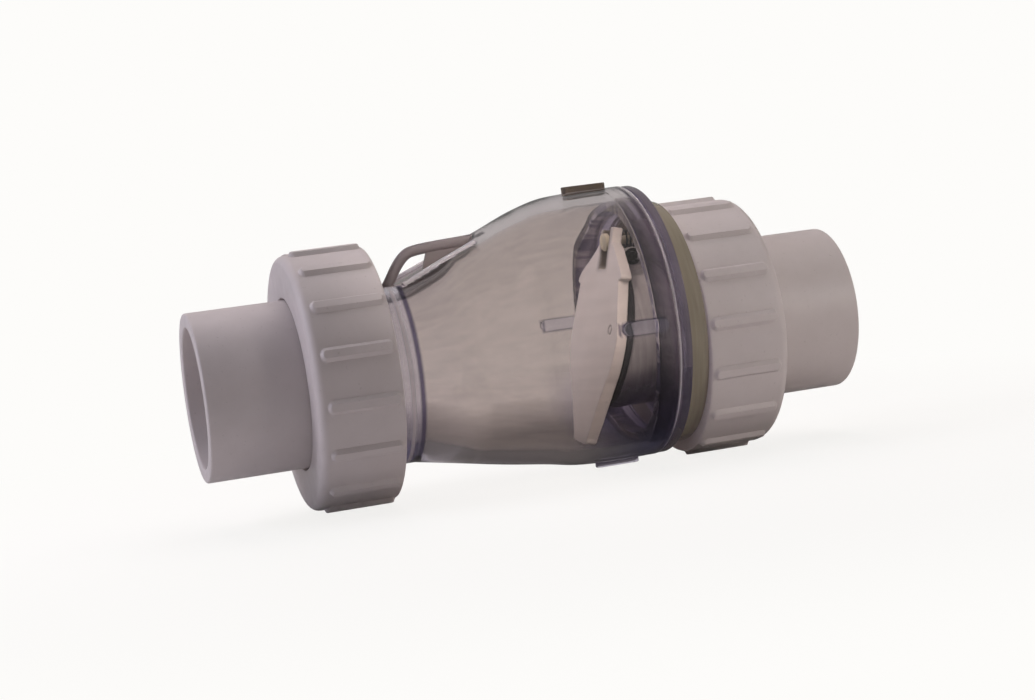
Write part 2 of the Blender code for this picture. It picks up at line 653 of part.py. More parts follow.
def face_seat(frame, obj, depth):
    """Puts a piece turned round Z on the seat's centre, with Z towards the seat."""
    place(obj, Matrix.Translation((depth, 0.0, SEAT_DROP)) @ Matrix.Rotation(math.pi / 2, 4, "Y"),
          frame)


def make_gasket(frame):
    thick = GASKET_THICKNESS
    round_edge = arc((GASKET_RADIUS - thick / 2, thick / 2), thick / 2, 90, -90, 4)
    gasket = turned("flapper_gasket", [(GASKET_BORE, thick)] + round_edge + [(GASKET_BORE, 0.0)],
                    "black_rubber")
    face_seat(frame, gasket, GASKET_FACE - thick)


def make_retainer(frame):
    """A round plate that clamps the gasket's inner rim, with a boss through its bore."""
    boss = GASKET_THICKNESS + FIT
    low = FIT
    edge = RETAINER_EDGE
    radius = GASKET_BORE - FIT
    profile = [(0.0, boss + RETAINER_FLANGE), (RETAINER_RADIUS - edge, boss + RETAINER_FLANGE),
               (RETAINER_RADIUS, boss + RETAINER_FLANGE - edge), (RETAINER_RADIUS, boss + low),
               (radius, boss + low), (radius, low), (0.0, low)]
    retainer = turned("gasket_retainer", profile, "white_pvc", 36)
    face_seat(frame, retainer, PLATE_FACE)
    top = PLATE_FACE + boss + RETAINER_FLANGE
    for hole in screw_holes(frame, SCREW_RADIUS + FIT, PLATE_FACE - SCREW_RADIUS,
                            top + SCREW_RADIUS, "retainer_hole"):
        combine(retainer, hole, "DIFFERENCE")


def make_retainer_screws(frame):
    under = GASKET_THICKNESS + FIT + RETAINER_FLANGE + FIT
    top = under + SCREW_HEAD_HEIGHT
    tip = -SCREW_DEPTH + FIT
    profile = [(0.0, top), (SCREW_HEAD_RADIUS - SCREW_HEAD_HEIGHT / 3, top),
               (SCREW_HEAD_RADIUS, top - SCREW_HEAD_HEIGHT / 2),
               (SCREW_HEAD_RADIUS, under), (SCREW_RADIUS, under), (SCREW_RADIUS, tip), (0.0, tip)]
    for k, (y, z) in enumerate(screw_places()):
        screw = turned(f"retainer_screw_{k + 1}", profile, "stainless_steel", 16)
        place(screw, Matrix.Translation((PLATE_FACE, y, z)) @ Matrix.Rotation(math.pi / 2, 4, "Y"),
              frame)


def make_guide_bolt():
    """A round-headed bolt, screwed in the cap's floor, that the arm's fork straddles."""
    length = POCKET_FLOOR_X + BOLT_DEPTH - BOLT_HEAD_X
    profile = [(0.0, length), (BOLT_RADIUS, length), (BOLT_RADIUS, BOLT_HEAD_HEIGHT),
               (BOLT_HEAD_RADIUS, BOLT_HEAD_HEIGHT), (BOLT_HEAD_RADIUS, BOLT_HEAD_ROUND),
               (BOLT_HEAD_RADIUS - BOLT_HEAD_ROUND, 0.0), (0.0, 0.0)]
    bolt = turned("guide_bolt", profile, "natural_nylon", SMALL_SEGMENTS)
    place(bolt, along_x(BOLT_HEAD_X, BOLT_RISE, 1))


def make_spring():
    length = POCKET_FLOOR_X - FIT - SPRING_START_X - 2 * SPRING_WIRE
    count = int(SPRING_TURNS * SPRING_STEPS)
    points = []
    for i in range(count + 1):
        part = i / count
        a = 2 * math.pi * SPRING_TURNS * part
        points.append((length * part, SPRING_RADIUS * math.sin(a), SPRING_RADIUS * math.cos(a)))
    spring = rod("closing_spring", points, SPRING_WIRE, PARTS, "stainless_steel", resolution=1)
    spring.location = (SPRING_START_X + SPRING_WIRE, 0.0, AXIS_Z + BOLT_RISE)
    smooth(spring, 60.0)


def make_tail(name, outward):
    length = TAIL_END_X - TAIL_FACE_X
    flange = TAIL_FLANGE_THICKNESS
    chamfer = TAIL_CHAMFER
    profile = [(SOCKET_RADIUS + chamfer, length), (TAIL_RADIUS - chamfer, length),
               (TAIL_RADIUS, length - chamfer), (TAIL_RADIUS, flange),
               (TAIL_FLANGE_RADIUS, flange), (TAIL_FLANGE_RADIUS, 0.0), (BORE_RADIUS, 0.0),
               (BORE_RADIUS, length - SOCKET_DEPTH), (SOCKET_RADIUS, length - SOCKET_DEPTH),
               (SOCKET_RADIUS, length - chamfer)]
    tail = turned(name, profile, "white_pvc")
    place(tail, along_x(outward * TAIL_FACE_X, 0.0, outward))


def nut_profile():
    top = NUT_LENGTH
    hole = TAIL_RADIUS + NUT_HOLE_CLEARANCE
    edge = NUT_EDGE_ROUND
    rounded = arc((NUT_RADIUS - edge, top - edge), edge, 90, 0, 3)
    return ([(hole, top)] + rounded
            + [(NUT_RADIUS, NUT_CHAMFER), (NUT_RADIUS - NUT_CHAMFER, 0.0),
               (NUT_THREAD_RADIUS + NUT_CHAMFER, 0.0), (NUT_THREAD_RADIUS, NUT_CHAMFER),
               (NUT_THREAD_RADIUS, top - NUT_LIP), (hole, top - NUT_LIP)])


def nut_ribs(name):
    """All grip ribs of one nut, as one group of separate blocks round Z."""
    length = NUT_LENGTH - RIB_START - RIB_END
    root = NUT_RADIUS - RIB_ROOT
    middle = (NUT_RADIUS + RIB_HEIGHT + root) / 2
    blank = flat_shape(name, stadium(length, RIB_WIDTH), NUT_RADIUS + RIB_HEIGHT - root, CUTTERS)
    group = bmesh.new()
    stand = Matrix.Rotation(math.pi / 2, 4, "X")
    up = Matrix.Translation((0.0, 0.0, RIB_END + length / 2))
    for k in range(RIB_COUNT):
        turn = Matrix.Rotation(2 * math.pi * k / RIB_COUNT, 4, "Z")
        copy = blank.data.copy()
        copy.transform(turn @ up @ Matrix.Translation((0.0, middle, 0.0)) @ stand)
        group.from_mesh(copy)
        bpy.data.meshes.remove(copy)
    group.to_mesh(blank.data)
    group.free()
    return blank


def make_nut(name, outward, turn_deg):
    """A union nut, turned so that one rib is at the given angle from its lowest point."""
    nut = turned(name, nut_profile(), "white_pvc")
    matrix = along_x(outward * NUT_INNER_X, 0.0, outward, turn_deg)
    place(nut, matrix)
    ribs = nut_ribs(name + "_ribs")
    place(ribs, matrix)
    combine(nut, ribs, "UNION")


def make_ring(name, outward):
    bm = bmesh.new()
    steps = 6
    loops = []
    for i in range(SEGMENTS):
        turn = Matrix.Rotation(2 * math.pi * i / SEGMENTS, 3, "Z")
        section = arc((RING_RADIUS, 0.0), RING_CORD, 0, 360 - 360 / steps, steps - 1)
        loops.append([bm.verts.new(turn @ Vector((r, 0.0, z))) for r, z in section])
    for first, second in zip(loops, loops[1:] + loops[:1]):
        for i in range(steps):
            j = (i + 1) % steps
            bm.faces.new((first[i], first[j], second[j], second[i]))
    ring = add_object(name, mesh_from_bmesh(name, bm), PARTS, "black_rubber")
    place(ring, along_x(outward * (SPIGOT_FACE_X - RING_CORD - FIT / 2), 0.0, outward))
    smooth(ring, 80.0)


def main():
    clear_scene()
    add_collection(PARTS)
    add_collection(CUTTERS)
    add_material("clear_pvc", (0.52, 0.47, 0.50), 0.08, transmission=0.9)
    add_material("smoky_pvc", (0.30, 0.27, 0.33), 0.10, transmission=0.8)
    add_material("white_pvc", (0.74, 0.69, 0.69), 0.35)
    add_material("black_rubber", (0.015, 0.015, 0.016), 0.60)
    add_material("stainless_steel", (0.60, 0.60, 0.62), 0.25, metallic=1.0)
    add_material("natural_nylon", (0.72, 0.66, 0.50), 0.40)
    make_body_shell()
    make_end_cap()
    frame = flap_frame()
    make_seat_tube(frame)
    make_hinge_pin(frame)
    make_pin_clips(frame)
    make_flapper(frame)
    make_gasket(frame)
    make_retainer(frame)
    make_retainer_screws(frame)
    make_guide_bolt()
    make_spring()
    for end, outward, turn in (("outlet", -1, OUTLET_NUT_TURN_DEG), ("inlet", 1, INLET_NUT_TURN_DEG)):
        make_tail(end + "_tail", outward)
        make_nut(end + "_nut", outward, turn)
        make_ring(end + "_o_ring", outward)


main()
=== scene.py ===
"""Looks of an in-line swing check valve: clear bell body, sprung flap and a union at each end.

The pieces lie along X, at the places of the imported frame. Lengths are in metres.
"""

import json
import math

import bmesh
import bpy
import numpy as np
from bpy.props import FloatProperty, IntProperty, PointerProperty, StringProperty
from mathutils import Matrix, Vector


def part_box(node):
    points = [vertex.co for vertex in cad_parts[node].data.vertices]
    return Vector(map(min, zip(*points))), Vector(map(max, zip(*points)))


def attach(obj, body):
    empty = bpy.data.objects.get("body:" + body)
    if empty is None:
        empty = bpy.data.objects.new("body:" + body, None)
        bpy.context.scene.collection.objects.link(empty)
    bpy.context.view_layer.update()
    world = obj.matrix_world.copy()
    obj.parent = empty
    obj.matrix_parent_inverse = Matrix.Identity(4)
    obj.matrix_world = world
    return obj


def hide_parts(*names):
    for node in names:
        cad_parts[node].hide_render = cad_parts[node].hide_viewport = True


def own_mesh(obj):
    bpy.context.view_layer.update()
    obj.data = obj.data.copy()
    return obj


bl_info = {
    "name": "Swing check valve",
    "version": (1, 0, 0),
    "blender": (4, 5, 0),
    "location": "View3D > Sidebar > Valve",
    "description": "Builds the pieces, materials and studio of a clear swing check valve",
    "category": "Object",
}

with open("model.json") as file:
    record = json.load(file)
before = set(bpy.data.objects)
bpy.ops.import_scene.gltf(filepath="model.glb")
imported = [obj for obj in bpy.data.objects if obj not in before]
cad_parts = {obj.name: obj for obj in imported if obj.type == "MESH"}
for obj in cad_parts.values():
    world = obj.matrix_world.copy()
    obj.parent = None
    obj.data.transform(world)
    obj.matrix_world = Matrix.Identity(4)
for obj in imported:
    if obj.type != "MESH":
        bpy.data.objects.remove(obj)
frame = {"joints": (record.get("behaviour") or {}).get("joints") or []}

# Fixed places along the pipe line, taken from the frame
PIPE_Z = sum(c.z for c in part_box("outlet_tail")) / 2
PIPE_MIDDLE = Vector((0.0, 0.0, PIPE_Z))
NUT_INNER_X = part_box("inlet_nut")[0].x
NUT_OUTER_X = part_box("inlet_nut")[1].x
TAIL_FACE_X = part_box("inlet_tail")[0].x
TAIL_END_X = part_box("inlet_tail")[1].x
SPIGOT_FACE_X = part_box("end_cap")[1].x
MOUTH_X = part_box("body_shell")[1].x
CAP_LIP_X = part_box("end_cap")[0].x
SLEEVE_END_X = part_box("seat_tube")[1].x
SPRING_LOW, SPRING_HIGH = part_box("closing_spring")
BOLT_LOW, BOLT_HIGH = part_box("guide_bolt")
PIN_END_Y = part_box("hinge_pin")[1].y
HINGE = next(j for j in frame["joints"] if j["name"] == "flap_hinge")
PIVOT = Vector(HINGE["pos_m"])
ORIGIN = Vector((0.0, 0.0, 0.0))
ACROSS = Matrix.Rotation(math.pi / 2, 3, "Z")     # lays a turned piece along the hinge pin

# Facets
ROUND = 192             # round a large turned piece
FINE_ROUND = 48         # round a small turned piece
CORNER_STEPS = 4        # along one rounded corner

# Fits and radii that the pieces share
GAP = 0.0003            # between pieces that fit in each other
BORE_RADIUS = 0.0263    # the water way through the tails and the seat tube
SEAT_RADIUS = 0.0313
SPIGOT_BORE = 0.0330
SPIGOT_RADIUS = 0.0442
THREAD_PITCH = 0.004233
THREAD_DEPTH = 0.0012
RING_RADIUS = 0.0379
RING_CORD = 0.00135     # radius of the O-rings' cord
GROOVE_HALF = 0.0019    # half the width of the groove that the cord lies in
BOLT_HOLE = 0.0022
PIN_RADIUS = 0.0020
SCREW_HOLE = 0.0017
CUT_REACH = 0.1         # takes a cut right through any piece

# Bell outlines over and under the pipe, as x and height from the pipe line
TOP_OUTLINE = ((-0.0560, 0.0412), (-0.0420, 0.0449), (-0.0140, 0.0554), (0.0040, 0.0627),
               (0.0160, 0.0660), (0.0260, 0.0668), (0.0529, 0.0672))
BOTTOM_OUTLINE = ((-0.0560, 0.0412), (-0.0420, 0.0437), (-0.0140, 0.0488), (0.0040, 0.0515),
                  (0.0160, 0.0536), (0.0260, 0.0543), (0.0529, 0.0542))
BELL_AXIS = 0.0065
MOUTH_RADIUS = 0.0607
LIP_RADIUS = 0.0553
LIP_BORE = 0.0502
POCKET_FLOOR_X = NUT_INNER_X - 0.00435

# The slanted seat, in the flap's own frame: Z along the closed flap, X towards the seat
SEAT_TILT = math.radians(15.0)
SEAT_REACH = 0.0108     # from the hinge pin to the seat's middle, along the pipe
SEAT_X = -SEAT_REACH * math.cos(SEAT_TILT) + (PIVOT.z - PIPE_Z) * math.sin(SEAT_TILT)
SEAT_Z = -SEAT_REACH * math.sin(SEAT_TILT) - (PIVOT.z - PIPE_Z) * math.cos(SEAT_TILT)
FLAP_FRAME = Matrix.Translation(PIVOT) @ Matrix.Rotation(SEAT_TILT, 4, "Y")


def hex_colour(code):
    """An sRGB hex value as linear red, green and blue, and full alpha."""
    values = [int(code[i:i + 2], 16) / 255 for i in (1, 3, 5)]
    linear = [v / 12.92 if v <= 0.04045 else ((v + 0.055) / 1.055) ** 2.4 for v in values]
    return (*linear, 1.0)


def add_node(tree, kind, values=None, links=None, **settings):
    """Adds a node with its settings, its sockets' values and the links into it."""
    node = tree.nodes.new(kind)
    for name, value in settings.items():
        setattr(node, name, value)
    for socket, value in (values or {}).items():
        node.inputs[socket].default_value = value
    for socket, source in (links or {}).items():
        tree.links.new(source, node.inputs[socket])
    return node


def new_material(name):
    """An empty material, its nodes, and the place on the piece that its patterns follow."""
    made = bpy.data.materials.new(name)
    made.use_nodes = True
    made.node_tree.nodes.clear()
    place = add_node(made.node_tree, "ShaderNodeTexCoord").outputs["Object"]
    return made, made.node_tree, place


def per_mm(size_mm):
    """Texture scale at which one feature is this many millimetres across."""
    return 1000.0 / size_mm


def moulded_white_pvc(name, pale, deep):
    """White unplasticised PVC, injection moulded: satin, faintly mottled where the melt met,
    with a fine skin from the mould and rubbed, duller patches."""
    made, tree, place = new_material(name)
    mottle = add_node(tree, "ShaderNodeTexNoise", {"Scale": per_mm(14), "Detail": 3.0, "Roughness": 0.6},
                      {"Vector": place})
    colour = add_node(tree, "ShaderNodeMix", {"A": hex_colour(deep), "B": hex_colour(pale)},
                      {"Factor": mottle.outputs["Fac"]}, data_type="RGBA")
    # dirt specks of 0.7 mm, coarser than the real ones so that they show
    specks = add_node(tree, "ShaderNodeTexNoise", {"Scale": per_mm(1.4), "Detail": 1.0}, {"Vector": place})
    few = add_node(tree, "ShaderNodeMapRange", {"From Min": 0.70, "From Max": 0.80, "To Max": 0.25},
                   {"Value": specks.outputs["Fac"]})
    dirty = add_node(tree, "ShaderNodeMix", {"B": hex_colour("#7a706a")},
                     {"Factor": few.outputs["Result"], "A": colour.outputs["Result"]}, data_type="RGBA")
    rub = add_node(tree, "ShaderNodeTexNoise", {"Scale": per_mm(9), "Detail": 4.0}, {"Vector": place})
    rough = add_node(tree, "ShaderNodeMapRange",
                     {"From Min": 0.3, "From Max": 0.7, "To Min": 0.30, "To Max": 0.46},
                     {"Value": rub.outputs["Fac"]})
    skin = add_node(tree, "ShaderNodeTexNoise", {"Scale": per_mm(0.8), "Detail": 2.0}, {"Vector": place})
    bump = add_node(tree, "ShaderNodeBump", {"Strength": 0.12, "Distance": 0.00008},
                    {"Height": skin.outputs["Fac"]})
    # painted shade, brown, in the flap's pockets and grooves, where the mesh says so
    pocket_shade = add_node(tree, "ShaderNodeAttribute", attribute_name="pocket_shade")
    pocket_shaded = add_node(tree, "ShaderNodeMix", {"B": hex_colour("#41352b")},
                      {"Factor": pocket_shade.outputs["Fac"], "A": dirty.outputs["Result"]}, data_type="RGBA")
    shader = add_node(tree, "ShaderNodeBsdfPrincipled", {"IOR": 1.53},
                      {"Base Color": pocket_shaded.outputs["Result"], "Roughness": rough.outputs["Result"],
                       "Normal": bump.outputs["Normal"]})
    add_node(tree, "ShaderNodeOutputMaterial", links={"Surface": shader.outputs["BSDF"]})
    return made


def clear_moulded_pvc(name, depth_tint, density, stretch, faint):
    """Clear PVC, injection moulded: glossy glass-like walls that grow violet with depth, with
    the long flow lines of the melt. Lamps shine through it, so what it holds is well lit. Its
    tint and haze come from the mesh, because thick and milky parts differ, and because the
    mesh also carries painted shade and painted highlights."""
    made, tree, place = new_material(name)
    drawn = add_node(tree, "ShaderNodeMapping", {"Scale": stretch}, {"Vector": place})
    flow = add_node(tree, "ShaderNodeTexNoise", {"Scale": per_mm(12), "Detail": 2.0},
                    {"Vector": drawn.outputs["Vector"]})
    bump = add_node(tree, "ShaderNodeBump", {"Strength": 0.05, "Distance": 0.0002},
                    {"Height": flow.outputs["Fac"]})
    rough = add_node(tree, "ShaderNodeMapRange",
                     {"From Min": 0.3, "From Max": 0.7, "To Min": 0.01, "To Max": 0.05},
                     {"Value": flow.outputs["Fac"]})
    tint = add_node(tree, "ShaderNodeAttribute", attribute_name="tint")
    haze = add_node(tree, "ShaderNodeAttribute", attribute_name="haze")
    streaks = add_node(tree, "ShaderNodeMapRange",
                       {"From Min": 0.35, "From Max": 0.65, "To Min": faint, "To Max": 1.0},
                       {"Value": flow.outputs["Fac"]})
    body = add_node(tree, "ShaderNodeVectorMath", operation="MULTIPLY",
                    links={0: tint.outputs["Color"], 1: streaks.outputs["Result"]})
    clear = add_node(tree, "ShaderNodeMath", {0: 1.0}, {1: haze.outputs["Fac"]}, operation="SUBTRACT")
    shader = add_node(tree, "ShaderNodeBsdfPrincipled", {"IOR": 1.53},
                      {"Base Color": body.outputs["Vector"], "Transmission Weight": clear.outputs[0],
                       "Roughness": rough.outputs["Result"], "Normal": bump.outputs["Normal"]})
    passing = add_node(tree, "ShaderNodeBsdfTransparent", {"Color": hex_colour("#fbf9f6")})
    rays = add_node(tree, "ShaderNodeLightPath")
    surface = add_node(tree, "ShaderNodeMixShader", links={0: rays.outputs["Is Shadow Ray"],
                                                           1: shader.outputs["BSDF"],
                                                           2: passing.outputs["BSDF"]})
    depth = add_node(tree, "ShaderNodeVolumeAbsorption",
                     {"Color": hex_colour(depth_tint), "Density": density})
    add_node(tree, "ShaderNodeOutputMaterial", links={"Surface": surface.outputs["Shader"],
                                                      "Volume": depth.outputs["Volume"]})
    return made


def nitrile_rubber(name):
    """Black nitrile rubber, compression moulded: dull, with a fine powdery bloom."""
    made, tree, place = new_material(name)
    bloom = add_node(tree, "ShaderNodeTexNoise", {"Scale": per_mm(3), "Detail": 4.0}, {"Vector": place})
    colour = add_node(tree, "ShaderNodeMix", {"A": hex_colour("#161516"), "B": hex_colour("#29272a")},
                      {"Factor": bloom.outputs["Fac"]}, data_type="RGBA")
    grain = add_node(tree, "ShaderNodeTexNoise", {"Scale": per_mm(0.5)}, {"Vector": place})
    bump = add_node(tree, "ShaderNodeBump", {"Strength": 0.3, "Distance": 0.00006},
                    {"Height": grain.outputs["Fac"]})
    shader = add_node(tree, "ShaderNodeBsdfPrincipled", {"Roughness": 0.62},
                      {"Base Color": colour.outputs["Result"], "Normal": bump.outputs["Normal"]})
    add_node(tree, "ShaderNodeOutputMaterial", links={"Surface": shader.outputs["BSDF"]})
    return made


def drawn_stainless_steel(name):
    """Stainless steel wire and bar, cold drawn: dull metal with fine lines along the drawing,
    written dark as painted shade, because its pieces sit in shade inside the bell."""
    made, tree, place = new_material(name)
    along = add_node(tree, "ShaderNodeMapping", {"Scale": (6.0, 1.0, 6.0)}, {"Vector": place})
    lines = add_node(tree, "ShaderNodeTexNoise", {"Scale": per_mm(1.2), "Detail": 3.0},
                     {"Vector": along.outputs["Vector"]})
    rough = add_node(tree, "ShaderNodeMapRange", {"To Min": 0.24, "To Max": 0.42},
                     {"Value": lines.outputs["Fac"]})
    bump = add_node(tree, "ShaderNodeBump", {"Strength": 0.15, "Distance": 0.00004},
                    {"Height": lines.outputs["Fac"]})
    # painted shade: a dark base colour for steel that sits in shade
    shader = add_node(tree, "ShaderNodeBsdfPrincipled",
                      {"Base Color": hex_colour("#2b2826"), "Metallic": 1.0},
                      {"Roughness": rough.outputs["Result"], "Normal": bump.outputs["Normal"]})
    add_node(tree, "ShaderNodeOutputMaterial", links={"Surface": shader.outputs["BSDF"]})
    return made


def natural_nylon(name):
    """Natural nylon, injection moulded: cream, waxy and slightly cloudy."""
    made, tree, place = new_material(name)
    cloud = add_node(tree, "ShaderNodeTexNoise", {"Scale": per_mm(2.5), "Detail": 2.0}, {"Vector": place})
    colour = add_node(tree, "ShaderNodeMix", {"A": hex_colour("#b9a988"), "B": hex_colour("#d2c4a2")},
                      {"Factor": cloud.outputs["Fac"]}, data_type="RGBA")
    rough = add_node(tree, "ShaderNodeMapRange", {"To Min": 0.35, "To Max": 0.5},
                     {"Value": cloud.outputs["Fac"]})
    shader = add_node(tree, "ShaderNodeBsdfPrincipled", {"IOR": 1.53},
                      {"Base Color": colour.outputs["Result"], "Roughness": rough.outputs["Result"]})
    add_node(tree, "ShaderNodeOutputMaterial", links={"Surface": shader.outputs["BSDF"]})
    return made


def shared(make, name, *settings):
    """The named material, made on first use and shared by all its pieces."""
    return bpy.data.materials.get(name) or make(name, *settings)


def white_pvc():
    """The union nuts and the tail pieces."""
    colours = bpy.context.scene.valve_colours
    return shared(moulded_white_pvc, "white_moulded_pvc", colours.white_pale, colours.white_deep)


def lit_flap_pvc():
    """The flap and its clamp plate, in a brighter white than the pipe pieces: painted light,
    a lit copy of the white PVC that makes up for the light the clear walls keep from them.
    """
    colours = bpy.context.scene.valve_colours
    return shared(moulded_white_pvc, "bright_moulded_pvc", colours.flap_pale, colours.flap_deep)


def clear_pvc():
    """The bell, whose flow lines run along the pipe."""
    colours = bpy.context.scene.valve_colours
    along, faint = (0.35, 3.0, 3.0), 0.93
    return shared(clear_moulded_pvc, "clear_moulded_pvc", colours.clear_depth, colours.clear_density,
                  along, faint)


def cap_pvc():
    """The end cap, with turned marks round it."""
    colours = bpy.context.scene.valve_colours
    around, faint = (7.0, 0.4, 0.4), 0.84
    return shared(clear_moulded_pvc, "turned_mark_pvc", colours.clear_depth, colours.clear_density,
                  around, faint)


def smoky_pvc():
    """The seat tube, darker and also with turned marks round it."""
    colours = bpy.context.scene.valve_colours
    around, faint = (6.0, 0.5, 0.5), 0.80
    return shared(clear_moulded_pvc, "smoky_moulded_pvc", colours.smoky_depth, colours.smoky_density,
                  around, faint)


def held(value):
    """The value, held from 0 to 1."""
    return min(max(value, 0.0), 1.0)


def ease(t):
    """A smooth step from 0 to 1 while t goes from 0 to 1."""
    t = held(t)
    return t * t * (3 - 2 * t)


def mix(a, b, t):
    """A colour between two linear ones, with t held from 0 to 1."""
    return [p + (q - p) * held(t) for p, q in zip(a, b)]


def shade_points(piece, shade):
    """Gives each point the tint and the haze that shade returns for its place."""
    shades = [shade(v.co.x, v.co.y, v.co.z - PIPE_Z) for v in piece.data.vertices]
    tint = piece.data.attributes.new("tint", "FLOAT_COLOR", "POINT")
    tint.data.foreach_set("color", [part for colour, _ in shades for part in colour])
    haze = piece.data.attributes.new("haze", "FLOAT", "POINT")
    haze.data.foreach_set("value", [milky for _, milky in shades])


def mesh_of(bm, name="shape"):
    """An object from a bmesh, which becomes a piece or is fused with one."""
    bmesh.ops.recalc_face_normals(bm, faces=bm.faces)
    mesh = bpy.data.meshes.new(name)
    bm.to_mesh(mesh)
    bm.free()
    made = bpy.data.objects.new(name, mesh)
    bpy.context.scene.collection.objects.link(made)
    return made


def dress(piece, finish, body, replaced, sharp_deg=None):
    """Finishes an object as a piece that stands for CAD nodes and rides on their body."""
    piece.data.materials.clear()
    piece.data.materials.append(finish)
    piece.data.shade_smooth()
    if sharp_deg is not None:
        piece.data.set_sharp_from_angle(angle=math.radians(sharp_deg))
    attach(piece, body)
    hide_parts(*replaced)


def soften(outline, radius):
    """A closed outline with its corners rounded, less where its edges are short."""
    points = [Vector(p) for p in outline]
    result = []
    for before, corner, after in zip(points[-1:] + points[:-1], points, points[1:] + points[:1]):
        back, ahead = before - corner, after - corner
        cut = min(radius, back.length * 0.45, ahead.length * 0.45)
        start, end = corner + back.normalized() * cut, corner + ahead.normalized() * cut
        for i in range(CORNER_STEPS + 1):
            t = i / CORNER_STEPS
            result.append(tuple(start * (1 - t) ** 2 + corner * 2 * t * (1 - t) + end * t**2))
    return result


def skin(bm, pairs):
    """Faces between the two loops of each pair, of which one may be a single point."""
    for first, second in pairs:
        count = max(len(first), len(second))
        for i in range(count if count > 1 else 0):
            j = (i + 1) % count
            corners = [first[i % len(first)], first[j % len(first)],
                       second[j % len(second)], second[i % len(second)]]
            bm.faces.new(list(dict.fromkeys(corners)))


def ring_chain(rings):
    """A closed chain of circles across X, each given by x, rise of its centre and radius."""
    bm = bmesh.new()
    loops = []
    for x, rise, radius in rings:
        loop = []
        for i in range(ROUND):
            a = 2 * math.pi * i / ROUND
            loop.append(bm.verts.new((x, radius * math.sin(a), PIPE_Z + rise + radius * math.cos(a))))
        loops.append(loop)
    skin(bm, zip(loops, loops[1:] + loops[:1]))
    return bm


def turned(outline, segments=ROUND, centre=PIPE_MIDDLE, turn=Matrix.Identity(3)):
    """A solid turned from a closed outline of (x, radius), on the pipe line or another line."""
    bm = bmesh.new()
    loops = []
    for x, radius in outline:
        loop = []
        for i in range(segments if radius else 1):
            a = 2 * math.pi * i / segments
            spot = Vector((x, radius * math.sin(a), radius * math.cos(a)))
            loop.append(bm.verts.new(centre + turn @ spot))
        loops.append(loop)
    skin(bm, zip(loops, loops[1:] + loops[:1]))
    return bm


def round_bar(start, end, radius, centre, turn=Matrix.Identity(3)):
    """A plain round bar along X or another line, to drill with or to fuse on."""
    outline = [(start, 0.0), (start, radius), (end, radius), (end, 0.0)]
    return turned(outline, FINE_ROUND, centre, turn)


def fuse(base, others, operation="UNION"):
    """Joins the others to the base, or cuts them out of it, and removes them."""
    for other in others:
        modifier = base.modifiers.new(operation.lower(), "BOOLEAN")
        modifier.operation = operation
        modifier.object = other
        modifier.solver = "EXACT"
    apply_modifiers(base)
    for other in others:
        mesh = other.data
        bpy.data.objects.remove(other)
        bpy.data.meshes.remove(mesh)


def apply_modifiers(piece):
    """Replaces the object's mesh by what its modifiers make of it."""
    bpy.context.view_layer.update()
    evaluated = piece.evaluated_get(bpy.context.evaluated_depsgraph_get())
    mesh = bpy.data.meshes.new_from_object(evaluated)
    piece.modifiers.clear()
    old = piece.data
    piece.data = mesh
    bpy.data.meshes.remove(old)


def block(low, high, matrix=Matrix.Identity(4)):
    """A block between two corners of the matrix's frame."""
    bm = bmesh.new()
    size, middle = Vector(high) - Vector(low), (Vector(high) + Vector(low)) / 2
    bmesh.ops.create_cube(bm, size=1.0, matrix=Matrix.Translation(middle) @ Matrix.Diagonal((*size, 1.0)))
    bm.transform(matrix)
    return bm


def prism(outline, depth, matrix, soft=0.0):
    """A flat outline of (x, y) made solid along Z to both sides, with its rims rounded by soft."""
    bm = bmesh.new()
    half = depth / 2
    low = [bm.verts.new((x, y, -half)) for x, y in outline]
    high = [bm.verts.new((x, y, half)) for x, y in outline]
    bm.faces.new(low[::-1])
    bm.faces.new(high)
    for i in range(len(outline)):
        j = (i + 1) % len(outline)
        bm.faces.new((low[i], low[j], high[j], high[i]))
    if soft:
        rims = [e for e in bm.edges if len({round(v.co.z, 6) for v in e.verts}) == 1]
        bmesh.ops.bevel(bm, geom=rims, offset=soft, segments=3, profile=0.5, affect="EDGES")
    bm.transform(matrix)
    return bm


def rod(points, radius, sides=16):
    """A round bar along the points, with flat ends."""
    bm = bmesh.new()
    points = [Vector(p) for p in points]
    across = Vector((0.0, 1.0, 0.0))
    loops = []
    for i, point in enumerate(points):
        run = (points[min(i + 1, len(points) - 1)] - points[max(i - 1, 0)]).normalized()
        across = (across - run * across.dot(run)).normalized()
        up = run.cross(across)
        loops.append([bm.verts.new(point + radius * (across * math.cos(a) + up * math.sin(a)))
                      for a in (2 * math.pi * k / sides for k in range(sides))])
    skin(bm, zip(loops, loops[1:]))
    bm.faces.new(loops[0])
    bm.faces.new(loops[-1])
    return bm


def smooth_line(points, x):
    """Height of a smooth line through an outline's points, by a cubic between neighbours."""
    xs, ys = [p[0] for p in points], [p[1] for p in points]
    slopes = np.gradient(ys, xs)
    k = min(max(int(np.searchsorted(xs, x)) - 1, 0), len(xs) - 2)
    step = xs[k + 1] - xs[k]
    t = (x - xs[k]) / step
    blend = (2 * t**3 - 3 * t**2 + 1, t**3 - 2 * t**2 + t, 3 * t**2 - 2 * t**3, t**3 - t**2)
    return (blend[0] * ys[k] + blend[1] * step * slopes[k]
            + blend[2] * ys[k + 1] + blend[3] * step * slopes[k + 1])


def smooth_path(points, steps):
    """A rounded path through the points, with this many steps between two of them."""
    points = [Vector(p) for p in points]
    ends = [points[0] * 2 - points[1]] + points + [points[-1] * 2 - points[-2]]
    path = []
    for a, b, c, d in zip(ends, ends[1:], ends[2:], ends[3:]):
        for i in range(steps):
            t = i / steps
            path.append(0.5 * (2 * b + (c - a) * t + (2 * a - 5 * b + 4 * c - d) * t**2
                               + (3 * b - a - 3 * c + d) * t**3))
    return path + [points[-1]]


def arc(centre, radius, start_deg, end_deg, steps):
    """Points on an arc from one angle to another, both ends included."""
    angles = np.radians(np.linspace(start_deg, end_deg, steps + 1))
    return [(centre[0] + radius * math.cos(a), centre[1] + radius * math.sin(a)) for a in angles]


